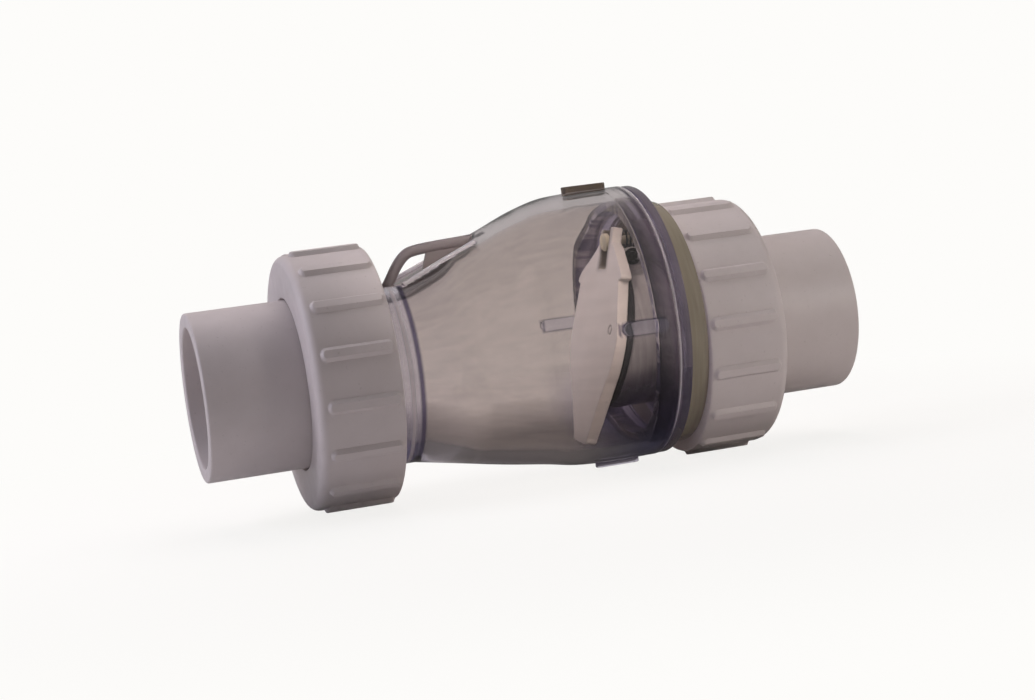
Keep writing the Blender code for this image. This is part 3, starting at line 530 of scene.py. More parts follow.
def bell_ring(x, inset=0.0):
    """The bell's circle at x, as its place, the rise of its centre and its radius."""
    top, bottom = smooth_line(TOP_OUTLINE, x), smooth_line(BOTTOM_OUTLINE, x)
    return (x, (top - bottom) / 2, (top + bottom) / 2 - inset)


def threaded(bm, start, end):
    """Cuts a screw thread into the spigot's outside between two x places, shallow at both ends."""
    for v in bm.verts:
        y, z = v.co.y, v.co.z - PIPE_Z
        radius = math.hypot(y, z)
        if start < v.co.x < end and radius > SPIGOT_RADIUS - 0.0001:
            turn = (v.co.x / THREAD_PITCH + math.atan2(y, z) / (2 * math.pi)) % 1.0
            fade = min(v.co.x - start, end - v.co.x) / THREAD_PITCH
            cut = THREAD_DEPTH * held(2 * fade) * held(2.2 * abs(turn - 0.5) - 0.15)
            v.co.y, v.co.z = y * (radius - cut) / radius, PIPE_Z + z * (radius - cut) / radius


class ValveSizes(bpy.types.PropertyGroup):
    """Sizes that differ between valves of this kind"""
    nut_radius: FloatProperty(name="Nut radius", description="Union nut's radius between its ribs",
                              default=0.0554, unit="LENGTH")
    rib_count: IntProperty(name="Ribs", description="Grip ribs round each nut", default=16, min=4)
    rib_width: FloatProperty(name="Rib width", description="Width of a grip rib",
                             default=0.0054, unit="LENGTH")
    rib_height: FloatProperty(name="Rib height", description="How far a rib stands out",
                              default=0.0018, unit="LENGTH")
    tail_radius: FloatProperty(name="Tail radius", description="Outside radius of the tail pieces",
                               default=0.0365, unit="LENGTH")
    socket_radius: FloatProperty(name="Socket radius", description="Radius of the pipe sockets",
                                 default=0.0302, unit="LENGTH")
    socket_depth: FloatProperty(name="Socket depth", description="Depth of the pipe sockets",
                                default=0.038, unit="LENGTH")
    bell_wall: FloatProperty(name="Bell wall", description="Wall of the clear bell",
                             default=0.0055, unit="LENGTH")
    spring_turns: FloatProperty(name="Spring turns", description="Coils of the closing spring", default=6.5)


class ValveColours(bpy.types.PropertyGroup):
    """Tints of the mouldings, as sRGB hex values, and how deep the clear ones look"""
    white_pale: StringProperty(name="White PVC, pale", description="Palest tone of the white mouldings",
                               default="#bcb2b1")
    white_deep: StringProperty(name="White PVC, deep", description="Deepest tone of the white mouldings",
                               default="#b0a6a4")
    # painted light: the flap's tones are a brighter, lit copy of the white PVC
    flap_pale: StringProperty(name="Flap, pale", description="Palest tone of the flap", default="#f4efeb")
    flap_deep: StringProperty(name="Flap, deep", description="Deepest tone of the flap", default="#eae3dd")
    clear_tint: StringProperty(name="Clear PVC", description="Tint of the clear body's walls",
                               default="#e8dfd9")
    collar_tint: StringProperty(name="Collar", description="Tint of the bell's thick collar",
                                default="#ddd8e2")
    # painted shade under the wide end, on top of the violet of thick clear PVC
    foot_shade_tint: StringProperty(name="Bell's foot", description="Tint under the wide end", default="#8983a8")
    lug_tint: StringProperty(name="Lugs", description="Tint of the four lugs", default="#6a5d53")
    flat_tint: StringProperty(name="Shoulder", description="Tint of the planed shoulder", default="#958a86")
    loop_tint: StringProperty(name="Loop", description="Tint of the shoulder loop", default="#958a8a")
    line_tint: StringProperty(name="Collar line", description="Tint where bell and collar meet",
                              default="#4a4260")
    # painted highlights on the mouth's edge, across the collar and along the shoulder's beads
    pale_highlight_tint: StringProperty(name="Scuffs", description="Tint of scuffed edges", default="#c3bbbf")
    flange_tint: StringProperty(name="Cap flange", description="Tint of the cap's flange", default="#c2b9cc")
    # painted shade: the olive tone of the white nut's shaded face behind the cap's neck
    neck_shade_tint: StringProperty(name="Cap neck", description="Tint of the cap's neck", default="#968c7a")
    clear_depth: StringProperty(name="Clear PVC depth", description="Colour of light deep in its walls",
                                default="#9288d0")
    clear_density: FloatProperty(name="Clear PVC density", description="How fast its walls darken",
                                 default=12.0)
    smoky_tint: StringProperty(name="Seat tube", description="Tint of the seat tube's top", default="#fbf8f8")
    # painted shade under the seat tube
    smoky_underside_shade: StringProperty(name="Seat tube's foot", description="Tint of the seat tube's underside",
                                    default="#7a7296")
    smoky_depth: StringProperty(name="Seat tube depth", description="Colour of light deep in its wall",
                                default="#7d72ac")
    smoky_density: FloatProperty(name="Seat tube density", description="How fast its wall darkens",
                                 default=16.0)


class ValveStage(bpy.types.PropertyGroup):
    """Light of the studio and brightness of its background"""
    floor_size: FloatProperty(name="Floor", description="Side of the floor", default=12.0, unit="LENGTH")
    above_power: FloatProperty(name="Light above", description="Power of the lamp above",
                               default=3.25, unit="POWER")
    back_power: FloatProperty(name="Light behind", description="Power of the lamp above and behind",
                              default=5.6, unit="POWER")
    left_power: FloatProperty(name="Left light", description="Power of the lamp over the outlet's side",
                              default=4.8, unit="POWER")
    low_left_power: FloatProperty(name="Low left light",
                                  description="Power of the low lamp at the outlet's end",
                                  default=2.6, unit="POWER")
    right_power: FloatProperty(name="Right light", description="Power of the narrow lamp at the inlet's side",
                               default=0.13, unit="POWER")
    flap_power: FloatProperty(name="Flap light", description="Power of the narrow lamp on the flap",
                              default=0.023, unit="POWER")
    fill: FloatProperty(name="Fill", description="Strength of the light from all round", default=0.01)
    through: FloatProperty(name="Seen through", description="Brightness of the studio behind clear walls",
                           default=0.72)
    ceiling: FloatProperty(name="Ceiling", description="Share of that brightness right overhead", default=0.8)
    shade: FloatProperty(name="Shade", description="Share of that brightness under the valve", default=0.14)
    mirrored: FloatProperty(name="Mirrored", description="Share of the studio's brightness that mirrors show",
                            default=0.35)


class VALVE_OT_tails(bpy.types.Operator):
    """Makes the two white tail pieces that the pipes are glued in"""
    bl_idname = "valve.tails"
    bl_label = "Tail pieces"

    def execute(self, context):
        sizes = context.scene.valve_sizes
        flange_end, flange_radius = TAIL_FACE_X + 0.0065, 0.0440
        socket_floor = TAIL_END_X - sizes.socket_depth
        for name, body, side in (("outlet", "outlet_tail_body", -1), ("inlet", "inlet_tail_body", 1)):
            outline = [(TAIL_END_X, sizes.socket_radius), (TAIL_END_X, sizes.tail_radius),
                       (flange_end, sizes.tail_radius), (flange_end, flange_radius),
                       (TAIL_FACE_X, flange_radius), (TAIL_FACE_X, BORE_RADIUS),
                       (socket_floor, BORE_RADIUS), (socket_floor, sizes.socket_radius)]
            tail = mesh_of(turned([(side * x, r) for x, r in soften(outline, 0.0011)]), name + "_tail_piece")
            dress(tail, white_pvc(), body, [name + "_tail"], 35)
        return {"FINISHED"}


class VALVE_OT_nuts(bpy.types.Operator):
    """Makes the two union nuts with their rounded grip ribs"""
    bl_idname = "valve.nuts"
    bl_label = "Union nuts"

    length = NUT_OUTER_X - NUT_INNER_X
    tail_fit = 0.0008
    thread_radius = 0.0446
    edge_round = 0.0035
    web_thickness = 0.0060
    rib_facets = 28         # round one rib and its gap

    def outline(self, sizes):
        """The nut's section from its plain outer face round the outside to the bore."""
        hole, thread, radius = sizes.tail_radius + self.tail_fit, self.thread_radius, sizes.nut_radius
        length, edge = self.length, self.edge_round
        round_edge = arc((length - edge, radius - edge), edge, 0, 90, 8)
        side = [(x, radius) for x in np.linspace(length - edge, 0.0010, 80)[1:]]
        floor = length - self.web_thickness
        inner = [(0.0003, radius - 0.0003), (0.0, radius - 0.0010), (0.0, thread + 0.0010),
                 (0.0010, thread), (floor, thread), (floor, hole)]
        face = [(length - 0.0006, hole), (length - 0.0001, hole + 0.0003), (length, hole + 0.0008)]
        return face + round_edge + side + inner

    def rib(self, x, around, sizes):
        """How far the nut stands out at x, this far round from a rib's middle."""
        low, high = 0.0012 + sizes.rib_width / 2, self.length - 0.0040 - sizes.rib_width / 2
        away = math.hypot(max(low - x, 0.0, x - high), around)
        flank = 0.0011
        return sizes.rib_height * ease((sizes.rib_width / 2 + 0.0002 - away) / flank)

    def execute(self, context):
        sizes = context.scene.valve_sizes
        pitch = 2 * math.pi / sizes.rib_count
        segments = sizes.rib_count * self.rib_facets
        # both nuts are turned as far as in the photograph
        for name, body, side, turn_deg in (("outlet", "outlet_nut_body", -1, -8.6),
                                           ("inlet", "inlet_nut_body", 1, 3.0)):
            bm = turned(self.outline(sizes), segments, ORIGIN)
            turn = math.pi - math.radians(turn_deg)
            for v in bm.verts:
                radius, angle = math.hypot(v.co.y, v.co.z), math.atan2(v.co.y, v.co.z)
                if radius > sizes.nut_radius - 0.0040 and v.co.x > 0.0001:
                    off = (angle + pitch / 2) % pitch - pitch / 2
                    out = self.rib(v.co.x, off * radius, sizes)
                    v.co.y, v.co.z = v.co.y * (radius + out) / radius, v.co.z * (radius + out) / radius
            place = Matrix.Translation((side * NUT_INNER_X, 0.0, PIPE_Z)) @ Matrix.Rotation(turn, 4, "X")
            bm.transform(place @ Matrix.Diagonal((side, 1.0, 1.0, 1.0)))
            nut = mesh_of(bm, name + "_union_nut")
            dress(nut, white_pvc(), body, [name + "_nut"], 40)
        return {"FINISHED"}


class VALVE_OT_bell(bpy.types.Operator):
    """Makes the clear bell body with its collar, thread, lugs and shoulder loop"""
    bl_idname = "valve.bell"
    bl_label = "Clear bell body"

    collar_radius, collar_end = 0.0412, -0.0572
    collar_highlight = (-0.0618, -0.0595)
    collar_line = (-0.0575, -0.0550)    # where the collar runs into the bell
    throat_start, throat_end = -0.0260, -0.0560
    flat_line = ((-0.0540, 0.0365), (-0.0200, 0.0505))
    flat_start = -0.0658
    flat_run_out = 0.0080
    loop_path = ((-0.0585, 0.0345), (-0.0555, 0.0390), (-0.0518, 0.0446), (-0.0478, 0.0487),
                 (-0.0435, 0.0503), (-0.0345, 0.0511), (-0.0196, 0.0518), (-0.0130, 0.0525))
    loop_bar = 0.0024
    rim_bar = 0.0014
    rim_inset = 0.0006
    web = ((-0.0405, 0.0420), (-0.0375, 0.0505), (-0.0180, 0.0518), (-0.0180, 0.0480))
    lug_x, lug_length, lug_width, lug_height = 0.0372, 0.0203, 0.0056, 0.0025

    def rings(self, sizes):
        """The bell's section from the outlet spigot's face, over the outside and back inside."""
        collar_start = -NUT_INNER_X - 0.00215
        face, floor = -SPIGOT_FACE_X, -SPIGOT_FACE_X + 2 * RING_CORD + GAP
        outer, inner = RING_RADIUS + GROOVE_HALF, RING_RADIUS - GROOVE_HALF
        rings = [(face, 0.0, SPIGOT_BORE), (face, 0.0, inner), (floor, 0.0, inner), (floor, 0.0, outer),
                 (face, 0.0, outer), (face, 0.0, SPIGOT_RADIUS - 0.0010)]
        rings += [(x, 0.0, SPIGOT_RADIUS) for x in np.linspace(face + 0.0010, collar_start - 0.0004, 58)]
        rings += [(collar_start, 0.0, SPIGOT_RADIUS - 0.0005),
                  (collar_start, 0.0, self.collar_radius + 0.0003),
                  (collar_start + 0.0003, 0.0, self.collar_radius)]
        rings += [(x, 0.0, self.collar_radius)
                  for x in np.linspace(collar_start + 0.0015, self.collar_end, 12)]
        rings += [bell_ring(x) for x in np.linspace(TOP_OUTLINE[0][0], MOUTH_X - 0.0005, 96)]
        rings += [(MOUTH_X, BELL_AXIS, MOUTH_RADIUS - 0.0005), (MOUTH_X, BELL_AXIS, LIP_RADIUS + GAP)]
        lip_floor = CAP_LIP_X - GAP
        rings += [(lip_floor, BELL_AXIS, LIP_RADIUS + GAP)]
        wall = sizes.bell_wall + 0.0006
        rings += [bell_ring(x, wall) for x in np.linspace(lip_floor, self.throat_start, 56)]
        throat = self.throat_start - self.throat_end
        for t in np.linspace(0.0, 1.0, 28)[1:]:
            x, rise, radius = bell_ring(self.throat_start - throat * t, wall)
            rings.append((x, rise * (1 - ease(t)), radius + (SPIGOT_BORE - radius) * ease(t)))
        return rings

    def flat_height(self, x):
        """Height of the planed shoulder's line over the pipe line at x."""
        (x1, z1), (x2, z2) = self.flat_line
        return z1 + (z2 - z1) / (x2 - x1) * (x - x1)

    def planed(self, bm):
        """Planes the shoulder flat under the loop, with a short ramp up at its upper end."""
        (x1, z1), (x2, z2) = self.flat_line
        rise_out = 1.1      # slope past the flat's upper end
        for v in bm.verts:
            x, z = v.co.x, v.co.z - PIPE_Z
            inside = math.hypot(v.co.y, z) < self.collar_radius - 0.0005
            if inside or not self.flat_start < x < x2 + self.flat_run_out:
                continue
            plane = z1 if x < x1 else self.flat_height(x)
            if x > x2:
                plane = z2 + (x - x2) * rise_out
            if z > plane:
                v.co.z = PIPE_Z + plane

    def lugs(self):
        """The four raised lugs round the wide end."""
        root = bell_ring(self.lug_x)[2] - 0.0015
        top = MOUTH_RADIUS + self.lug_height
        half, end = (self.lug_length - self.lug_width) / 2, self.lug_width / 2
        outline = arc((half, 0.0), end, -90, 90, 12) + arc((-half, 0.0), end, 90, 270, 12)
        place = Matrix.Translation((self.lug_x, 0.0, PIPE_Z + BELL_AXIS))
        lift = Matrix.Translation((0.0, 0.0, (root + top) / 2))
        turns = [Matrix.Rotation(k * math.pi / 2, 4, "X") for k in range(4)]
        return [mesh_of(prism(outline, top - root, place @ (turn @ lift), 0.0004)) for turn in turns]

    def rim(self, x):
        """Half the width and the height of the planed shoulder at x."""
        height = self.flat_height(x)
        _, rise, radius = bell_ring(x)
        return math.sqrt(max(radius**2 - (height - rise)**2, 0.0)), height

    def rim_bars(self):
        """Soft beads along both edges of the planed shoulder."""
        bars = []
        for side in (-1, 1):
            path = []
            for x in np.linspace(self.flat_line[0][0] - 0.0005, self.flat_line[1][0] + 0.0005, 24):
                half, height = self.rim(x)
                path.append((x, side * (half - self.rim_inset), PIPE_Z + height - 0.0001))
            bars.append(mesh_of(rod(path, self.rim_bar, 12)))
        return bars

    def shade(self, colours):
        """Tint and haze of the bell: lugs, loop and collar are thick and look deeper. The foot
        of the wide end and the collar's underside are deep violet with painted shade, and the
        mouth's edge, a streak on the collar and the shoulder's beads carry a pale painted highlight."""
        clear, violet, deep, lug, loop, pale_highlight, line, flat = (hex_colour(c) for c in (
            colours.clear_tint, colours.collar_tint, colours.foot_shade_tint, colours.lug_tint,
            colours.loop_tint, colours.pale_highlight_tint, colours.line_tint, colours.flat_tint))
        (x1, _), (x2, _) = self.flat_line
        lug_half, lug_end = (self.lug_length - self.lug_width) / 2, self.lug_width / 2

        def at(x, y, z):
            around = math.hypot(y, z - BELL_AXIS)
            plane = self.flat_height(x)
            on_top = z > abs(y)
            if x > 0.0 and around > MOUTH_RADIUS + 0.0006:
                return (lug, 0.85) if on_top else (violet, 0.06)
            if 0.025 < x < 0.050:
                off = min(abs(y), abs(z - BELL_AXIS))
                side = math.hypot(max(abs(x - self.lug_x) - lug_half, 0.0), off) - lug_end
                if abs(side) < 0.0004:
                    return (lug, 0.85) if on_top else (line, 0.20)
            if x < -0.0120 and abs(y) < self.loop_bar + 0.0002 and z > plane + 0.0006:
                return loop, 0.60
            # painted highlight: a pale edge round the mouth
            if x > MOUTH_X - 0.0009 and around > MOUTH_RADIUS - 0.0008:
                return pale_highlight, 0.55
            if x1 - 0.0020 < x < x2 + 0.0010 and z > 0.0:
                half, height = self.rim(x)
                # painted highlight: the beads along the planed shoulder are pale
                if math.hypot(abs(y) - half + self.rim_inset, z - height) < self.rim_bar + 0.0003:
                    return pale_highlight, 0.72
                if abs(z - height) < 0.0008 and abs(y) < half:
                    return flat, 0.50
            if x < self.collar_line[1] and math.hypot(y, z) > self.collar_radius - 0.0008:
                if x > self.collar_line[0]:
                    return line, 0.15
                # painted highlight: a pale streak across the collar
                if self.collar_highlight[0] < x < self.collar_highlight[1]:
                    return pale_highlight, 0.55
                # painted shade: the collar grows deep violet towards its underside
                return mix(violet, deep, (-0.010 - z) / 0.030), 0.12
            # painted shade with the violet of thick clear PVC: the wide end's foot grows deep violet towards
            # the bottom
            foot = held((x - 0.020) / 0.025) * held((-0.012 - z) / 0.030)
            return mix(clear, deep, foot), 0.0

        return at

    def execute(self, context):
        sizes = context.scene.valve_sizes
        bm = ring_chain(self.rings(sizes))
        self.planed(bm)
        threaded(bm, -SPIGOT_FACE_X + 0.0012, -NUT_INNER_X - 0.0026)
        bell = mesh_of(bm, "clear_bell")
        path = smooth_path([(x, 0.0, z) for x, z in self.loop_path], 5)
        loop = mesh_of(rod([(x, 0.0, PIPE_Z + z) for x, _, z in path], self.loop_bar))
        stand = Matrix.Translation((0.0, 0.0, PIPE_Z)) @ Matrix.Rotation(math.pi / 2, 4, "X")
        web = mesh_of(prism(self.web, 0.0020, stand))
        fuse(bell, self.lugs() + [loop, web] + self.rim_bars())
        shade_points(bell, self.shade(context.scene.valve_colours))
        dress(bell, clear_pvc(), "valve_body", ["body_shell"], 32)
        return {"FINISHED"}


class VALVE_OT_cap(bpy.types.Operator):
    """Makes the clear end cap that closes the bell and carries the inlet thread"""
    bl_idname = "valve.cap"
    bl_label = "Clear end cap"

    def shade(self, colours):
        """Tint and haze of the cap: violet in its flange, and milky olive round its neck, as painted
        shade of the white nut's face behind it.
        """
        neck, flange, clear, edge = (hex_colour(c) for c in (
            colours.neck_shade_tint, colours.flange_tint, colours.clear_tint, colours.line_tint))

        def at(x, y, z):
            # painted shade: the neck is milky olive, the tone of the shaded white nut behind it
            if x > MOUTH_X + 0.0056 and math.hypot(y, z) > 0.0480:
                return neck, 0.75
            if x < CAP_LIP_X + 0.0006 and math.hypot(y, z - BELL_AXIS) > LIP_BORE:
                return edge, 0.10
            return (flange, 0.08) if x > MOUTH_X - 0.0010 else (clear, 0.11)

        return at

    def execute(self, context):
        neck_axis, pocket_axis = BELL_AXIS - 0.0023, BELL_AXIS - 0.0013
        flange, flange_end = MOUTH_X + GAP, MOUTH_X + 0.0051
        flange_radius = MOUTH_RADIUS - GAP
        neck_radius, pocket_radius = 0.0546, 0.0496
        shoulder = NUT_INNER_X - GAP
        face, floor = SPIGOT_FACE_X, SPIGOT_FACE_X - 2 * RING_CORD - GAP
        outer, inner = RING_RADIUS + GROOVE_HALF, RING_RADIUS - GROOVE_HALF
        rings = [(CAP_LIP_X, BELL_AXIS, LIP_RADIUS - 0.0004), (CAP_LIP_X + 0.0004, BELL_AXIS, LIP_RADIUS),
                 (flange, BELL_AXIS, LIP_RADIUS), (flange, BELL_AXIS, flange_radius - 0.0003),
                 (flange + 0.0003, BELL_AXIS, flange_radius), (flange_end - 0.0010, BELL_AXIS, flange_radius),
                 (flange_end - 0.0003, BELL_AXIS, flange_radius - 0.0003),
                 (flange_end, BELL_AXIS, flange_radius - 0.0010),
                 (flange_end, neck_axis, neck_radius + 0.0006),
                 (flange_end + 0.0006, neck_axis, neck_radius),
                 (shoulder - 0.0008, neck_axis, neck_radius),
                 (shoulder - 0.0002, neck_axis, neck_radius - 0.0002),
                 (shoulder, neck_axis, neck_radius - 0.0008), (shoulder, 0.0, SPIGOT_RADIUS)]
        rings += [(x, 0.0, SPIGOT_RADIUS) for x in np.linspace(shoulder + 0.0004, face - 0.0010, 58)]
        rings += [(face, 0.0, SPIGOT_RADIUS - 0.0010), (face, 0.0, outer), (floor, 0.0, outer),
                  (floor, 0.0, inner), (face, 0.0, inner), (face, 0.0, SPIGOT_BORE),
                  (POCKET_FLOOR_X, 0.0, SPIGOT_BORE), (POCKET_FLOOR_X, pocket_axis, pocket_radius - 0.0010),
                  (POCKET_FLOOR_X - 0.0003, pocket_axis, pocket_radius - 0.0003),
                  (POCKET_FLOOR_X - 0.0010, pocket_axis, pocket_radius),
                  (MOUTH_X, pocket_axis, pocket_radius), (CAP_LIP_X, BELL_AXIS, LIP_BORE)]
        bm = ring_chain(rings)
        threaded(bm, shoulder + 0.0008, SPIGOT_FACE_X - 0.0012)
        cap = mesh_of(bm, "clear_end_cap")
        bolt_line = Vector((0.0, 0.0, (BOLT_LOW.z + BOLT_HIGH.z) / 2))
        hole = round_bar(POCKET_FLOOR_X - 0.001, BOLT_HIGH.x + GAP, BOLT_HOLE, bolt_line)
        fuse(cap, [mesh_of(hole)], "DIFFERENCE")
        shade_points(cap, self.shade(context.scene.valve_colours))
        dress(cap, cap_pvc(), "valve_body", ["end_cap"], 32)
        return {"FINISHED"}


class VALVE_OT_seat_tube(bpy.types.Operator):
    """Makes the smoky tube with its slanted seat and the two hinge ears"""
    bl_idname = "valve.seat_tube"
    bl_label = "Seat tube"

    def execute(self, context):
        sleeve, step = SPIGOT_BORE - GAP, POCKET_FLOOR_X + GAP
        start = PIVOT.x - 0.03
        outline = [(start, BORE_RADIUS), (start, SEAT_RADIUS), (step, SEAT_RADIUS), (step, sleeve),
                   (SLEEVE_END_X - 0.0005, sleeve), (SLEEVE_END_X, sleeve - 0.0005),
                   (SLEEVE_END_X, BORE_RADIUS)]
        tube = mesh_of(turned(outline), "smoky_seat_tube")
        slant = block((-CUT_REACH, -CUT_REACH, -CUT_REACH), (SEAT_X, CUT_REACH, CUT_REACH), FLAP_FRAME)
        fuse(tube, [mesh_of(slant)], "DIFFERENCE")
        foot = BORE_RADIUS + GAP - (PIVOT.z - PIPE_Z)
        profile = [(SEAT_X + GAP, foot)] + arc((0.0, 0.0), 0.0042, 256, -10, 40) + [(0.0062, foot)]
        lay = Matrix.Rotation(math.pi / 2, 4, "X")
        sides = [FLAP_FRAME @ Matrix.Translation((0.0, y, 0.0)) @ lay for y in (-0.0099, 0.0099)]
        fuse(tube, [mesh_of(prism(profile, 0.0030, side)) for side in sides])
        hole = round_bar(-CUT_REACH, CUT_REACH, PIN_RADIUS + 0.0001, PIVOT, ACROSS)
        fuse(tube, [mesh_of(hole)], "DIFFERENCE")
        colours = context.scene.valve_colours
        # painted shade: the seat tube grows from its pale tint on top to a deep violet underside
        pale, deep = hex_colour(colours.smoky_tint), hex_colour(colours.smoky_underside_shade)
        shade_points(tube, lambda x, y, z: (mix(pale, deep, (-0.012 - z) / 0.020), 0.34))
        dress(tube, smoky_pvc(), "valve_body", ["seat_tube"], 32)
        return {"FINISHED"}


class VALVE_OT_hinge(bpy.types.Operator):
    """Makes the hinge pin and its two clips"""
    bl_idname = "valve.hinge"
    bl_label = "Hinge pin and clips"

    def execute(self, context):
        steel = shared(drawn_stainless_steel, "drawn_stainless_steel")
        reach, radius, soft = PIN_END_Y, PIN_RADIUS, 0.0004
        outline = [(-reach, 0.0), (-reach, radius - soft), (soft - reach, radius),
                   (reach - soft, radius), (reach, radius - soft), (reach, 0.0)]
        pin = mesh_of(turned(outline, FINE_ROUND, PIVOT, ACROSS), "hinge_pin_bar")
        dress(pin, steel, "valve_body", ["hinge_pin"], 50)
        bore, rim = PIN_RADIUS + 0.0001, 0.0037
        for name in ("pin_clip_near", "pin_clip_far"):
            low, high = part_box(name)
            half = (high.y - low.y) / 2
            ring = soften([(-half, bore), (-half, rim), (half, rim), (half, bore)], 0.00015)
            centre = Vector((PIVOT.x, (high.y + low.y) / 2, PIVOT.z))
            clip = mesh_of(turned(ring, FINE_ROUND, centre, ACROSS), name + "_ring")
            slot = Matrix.Translation(centre) @ Matrix.Rotation(SEAT_TILT, 4, "Y")
            gap = block((0.0, -0.001, -0.0011), (0.006, 0.001, 0.0011), slot)
            fuse(clip, [mesh_of(gap)], "DIFFERENCE")
            dress(clip, steel, "valve_body", [name], 40)
        return {"FINISHED"}


class VALVE_OT_flap(bpy.types.Operator):
    """Makes the moulded flap with its forked arm, its rubber face, clamp plate and screws"""
    bl_idname = "valve.flap"
    bl_label = "Flap"

    gasket_thickness = 0.0024
    gasket_bore = 0.0180
    plate_thickness = 0.0050
    arm_half = 0.0080
    slot_half = 0.0026
    pocket_half = 0.0046
    gate_y, gate_z, gate_radius = -0.0215, SEAT_Z + 0.0030, 0.0019
    clamp_radius = 0.0230
    screw_circle = 0.0120

    def outline(self):
        """The moulding seen along X: a disc with sloping shoulders above and a blunt tab below."""
        hinge_rise, tab_reach = 0.0352, 0.0190
        low, tab, radius = SEAT_Z, -(hinge_rise + SEAT_RADIUS + tab_reach), SEAT_RADIUS + 0.0005
        half, corner, wide, shoulder = 0.0105, 0.0030, radius - 0.0012, -0.0120
        right = arc((0.0, low), radius, -38, 0, 16)
        left = arc((0.0, low), radius, 180, 218, 16)
        top = soften([(wide, shoulder), (0.0086, 0.0060), (-0.0086, 0.0060), (-wide, shoulder)], 0.0060)
        foot_left = arc((-half + corner, tab + corner), corner, 180, 270, 8)
        foot_right = arc((half - corner, tab + corner), corner, 270, 360, 8)
        return right + top + left + foot_left + foot_right

    def moulding(self, face, back):
        """The flap with its arm and hinge barrel, before its edges are softened."""
        upright = Matrix(((0.0, 0.0, 1.0), (1.0, 0.0, 0.0), (0.0, 1.0, 0.0))).to_4x4()
        lay = FLAP_FRAME @ Matrix.Translation(((face + back) / 2, 0.0, 0.0)) @ upright
        flap = mesh_of(prism(self.outline(), face - back, lay), "moulded_flap")
        half, slim = self.arm_half, 0.0001
        arm = block((back, -half, SEAT_Z / 2), (face - slim, half, 0.0120), FLAP_FRAME)
        neck = block((face - 0.0025, slim - half, -0.0030), (-slim, half - slim, 0.0030), FLAP_FRAME)
        fuse(flap, [mesh_of(arm), mesh_of(round_bar(-half, half, 0.0032, PIVOT, ACROSS)), mesh_of(neck)])
        bore = round_bar(-CUT_REACH, CUT_REACH, PIN_RADIUS + 0.0002, PIVOT, ACROSS)
        slot = block((-CUT_REACH, -self.slot_half, -0.0038), (CUT_REACH, self.slot_half, CUT_REACH),
                     FLAP_FRAME)
        cuts = [bore, slot, self.head_pocket(), self.gate_mark(back)]
        fuse(flap, [mesh_of(cut) for cut in cuts] + self.screw_holes(face - 0.0030, face + 0.0014),
             "DIFFERENCE")
        return flap

    def paint_pocket_shade(self, flap, back):
        """Marks painted shade in the head pocket and the slot, under them on the arm's back, and in
        the gate mark."""
        into = FLAP_FRAME.inverted()
        pocket_foot, spread = -0.0045, 0.0040
        marks = []
        for v in flap.data.vertices:
            p = into @ v.co
            away = math.hypot(max(abs(p.y) - self.pocket_half, 0.0), max(pocket_foot - p.z, 0.0))
            inside = 0.9 if abs(p.y) < self.pocket_half + 0.0003 else 0.0
            ring = abs(math.hypot(p.y - self.gate_y, p.z - self.gate_z) - self.gate_radius)
            if p.x < back + 0.0010 and ring < 0.0005:
                marks.append(0.45)
            else:
                marks.append(held(1.0 - away / spread) * (inside if p.x > back + 0.0006 else 0.8))
        # painted shade in the pockets and grooves, kept on the mesh for the material
        pocket_shade = flap.data.attributes.new("pocket_shade", "FLOAT", "POINT")
        pocket_shade.data.foreach_set("value", marks)

    def head_pocket(self):
        """The pocket in the arm's back that the bolt's head stands in, shut or open."""
        half = self.pocket_half
        opened = SEAT_TILT + math.radians(HINGE["range_deg"][1])
        head_end, low = BOLT_LOW.x + 0.0030 - PIVOT.x, 0.0078 - half
        depth = max(head_end * math.cos(a) - low * math.sin(a) for a in (SEAT_TILT, opened)) + 2 * GAP
        floor = (BOLT_LOW.x - PIVOT.x) * math.sin(opened) + low * math.cos(opened) - 2 * GAP
        return block((-0.05, -half, floor), (depth, half, 0.05), FLAP_FRAME)

    def gate_mark(self, back):
        """A fine pressed ring where the melt came in, on the near side of the flap's back."""
        inner, outer = self.gate_radius - 0.0004, self.gate_radius + 0.0004
        ring = turned([(-0.0005, inner), (-0.0005, outer), (0.0008, outer), (0.0008, inner)], FINE_ROUND,
                      Vector((back, self.gate_y, self.gate_z)))
        ring.transform(FLAP_FRAME)
        return ring

    def screw_places(self):
        """Where the three screws stand on the flap, as y and z in its frame."""
        turns = [2 * math.pi * k / 3 for k in range(3)]
        return [(self.screw_circle * math.sin(a), SEAT_Z + self.screw_circle * math.cos(a)) for a in turns]

    def screw_holes(self, start, end):
        """Bars to drill the three screw holes with, between two depths in the flap's frame."""
        holes = [round_bar(start, end, SCREW_HOLE, Vector((0.0, y, z))) for y, z in self.screw_places()]
        for hole in holes:
            hole.transform(FLAP_FRAME)
        return [mesh_of(hole) for hole in holes]

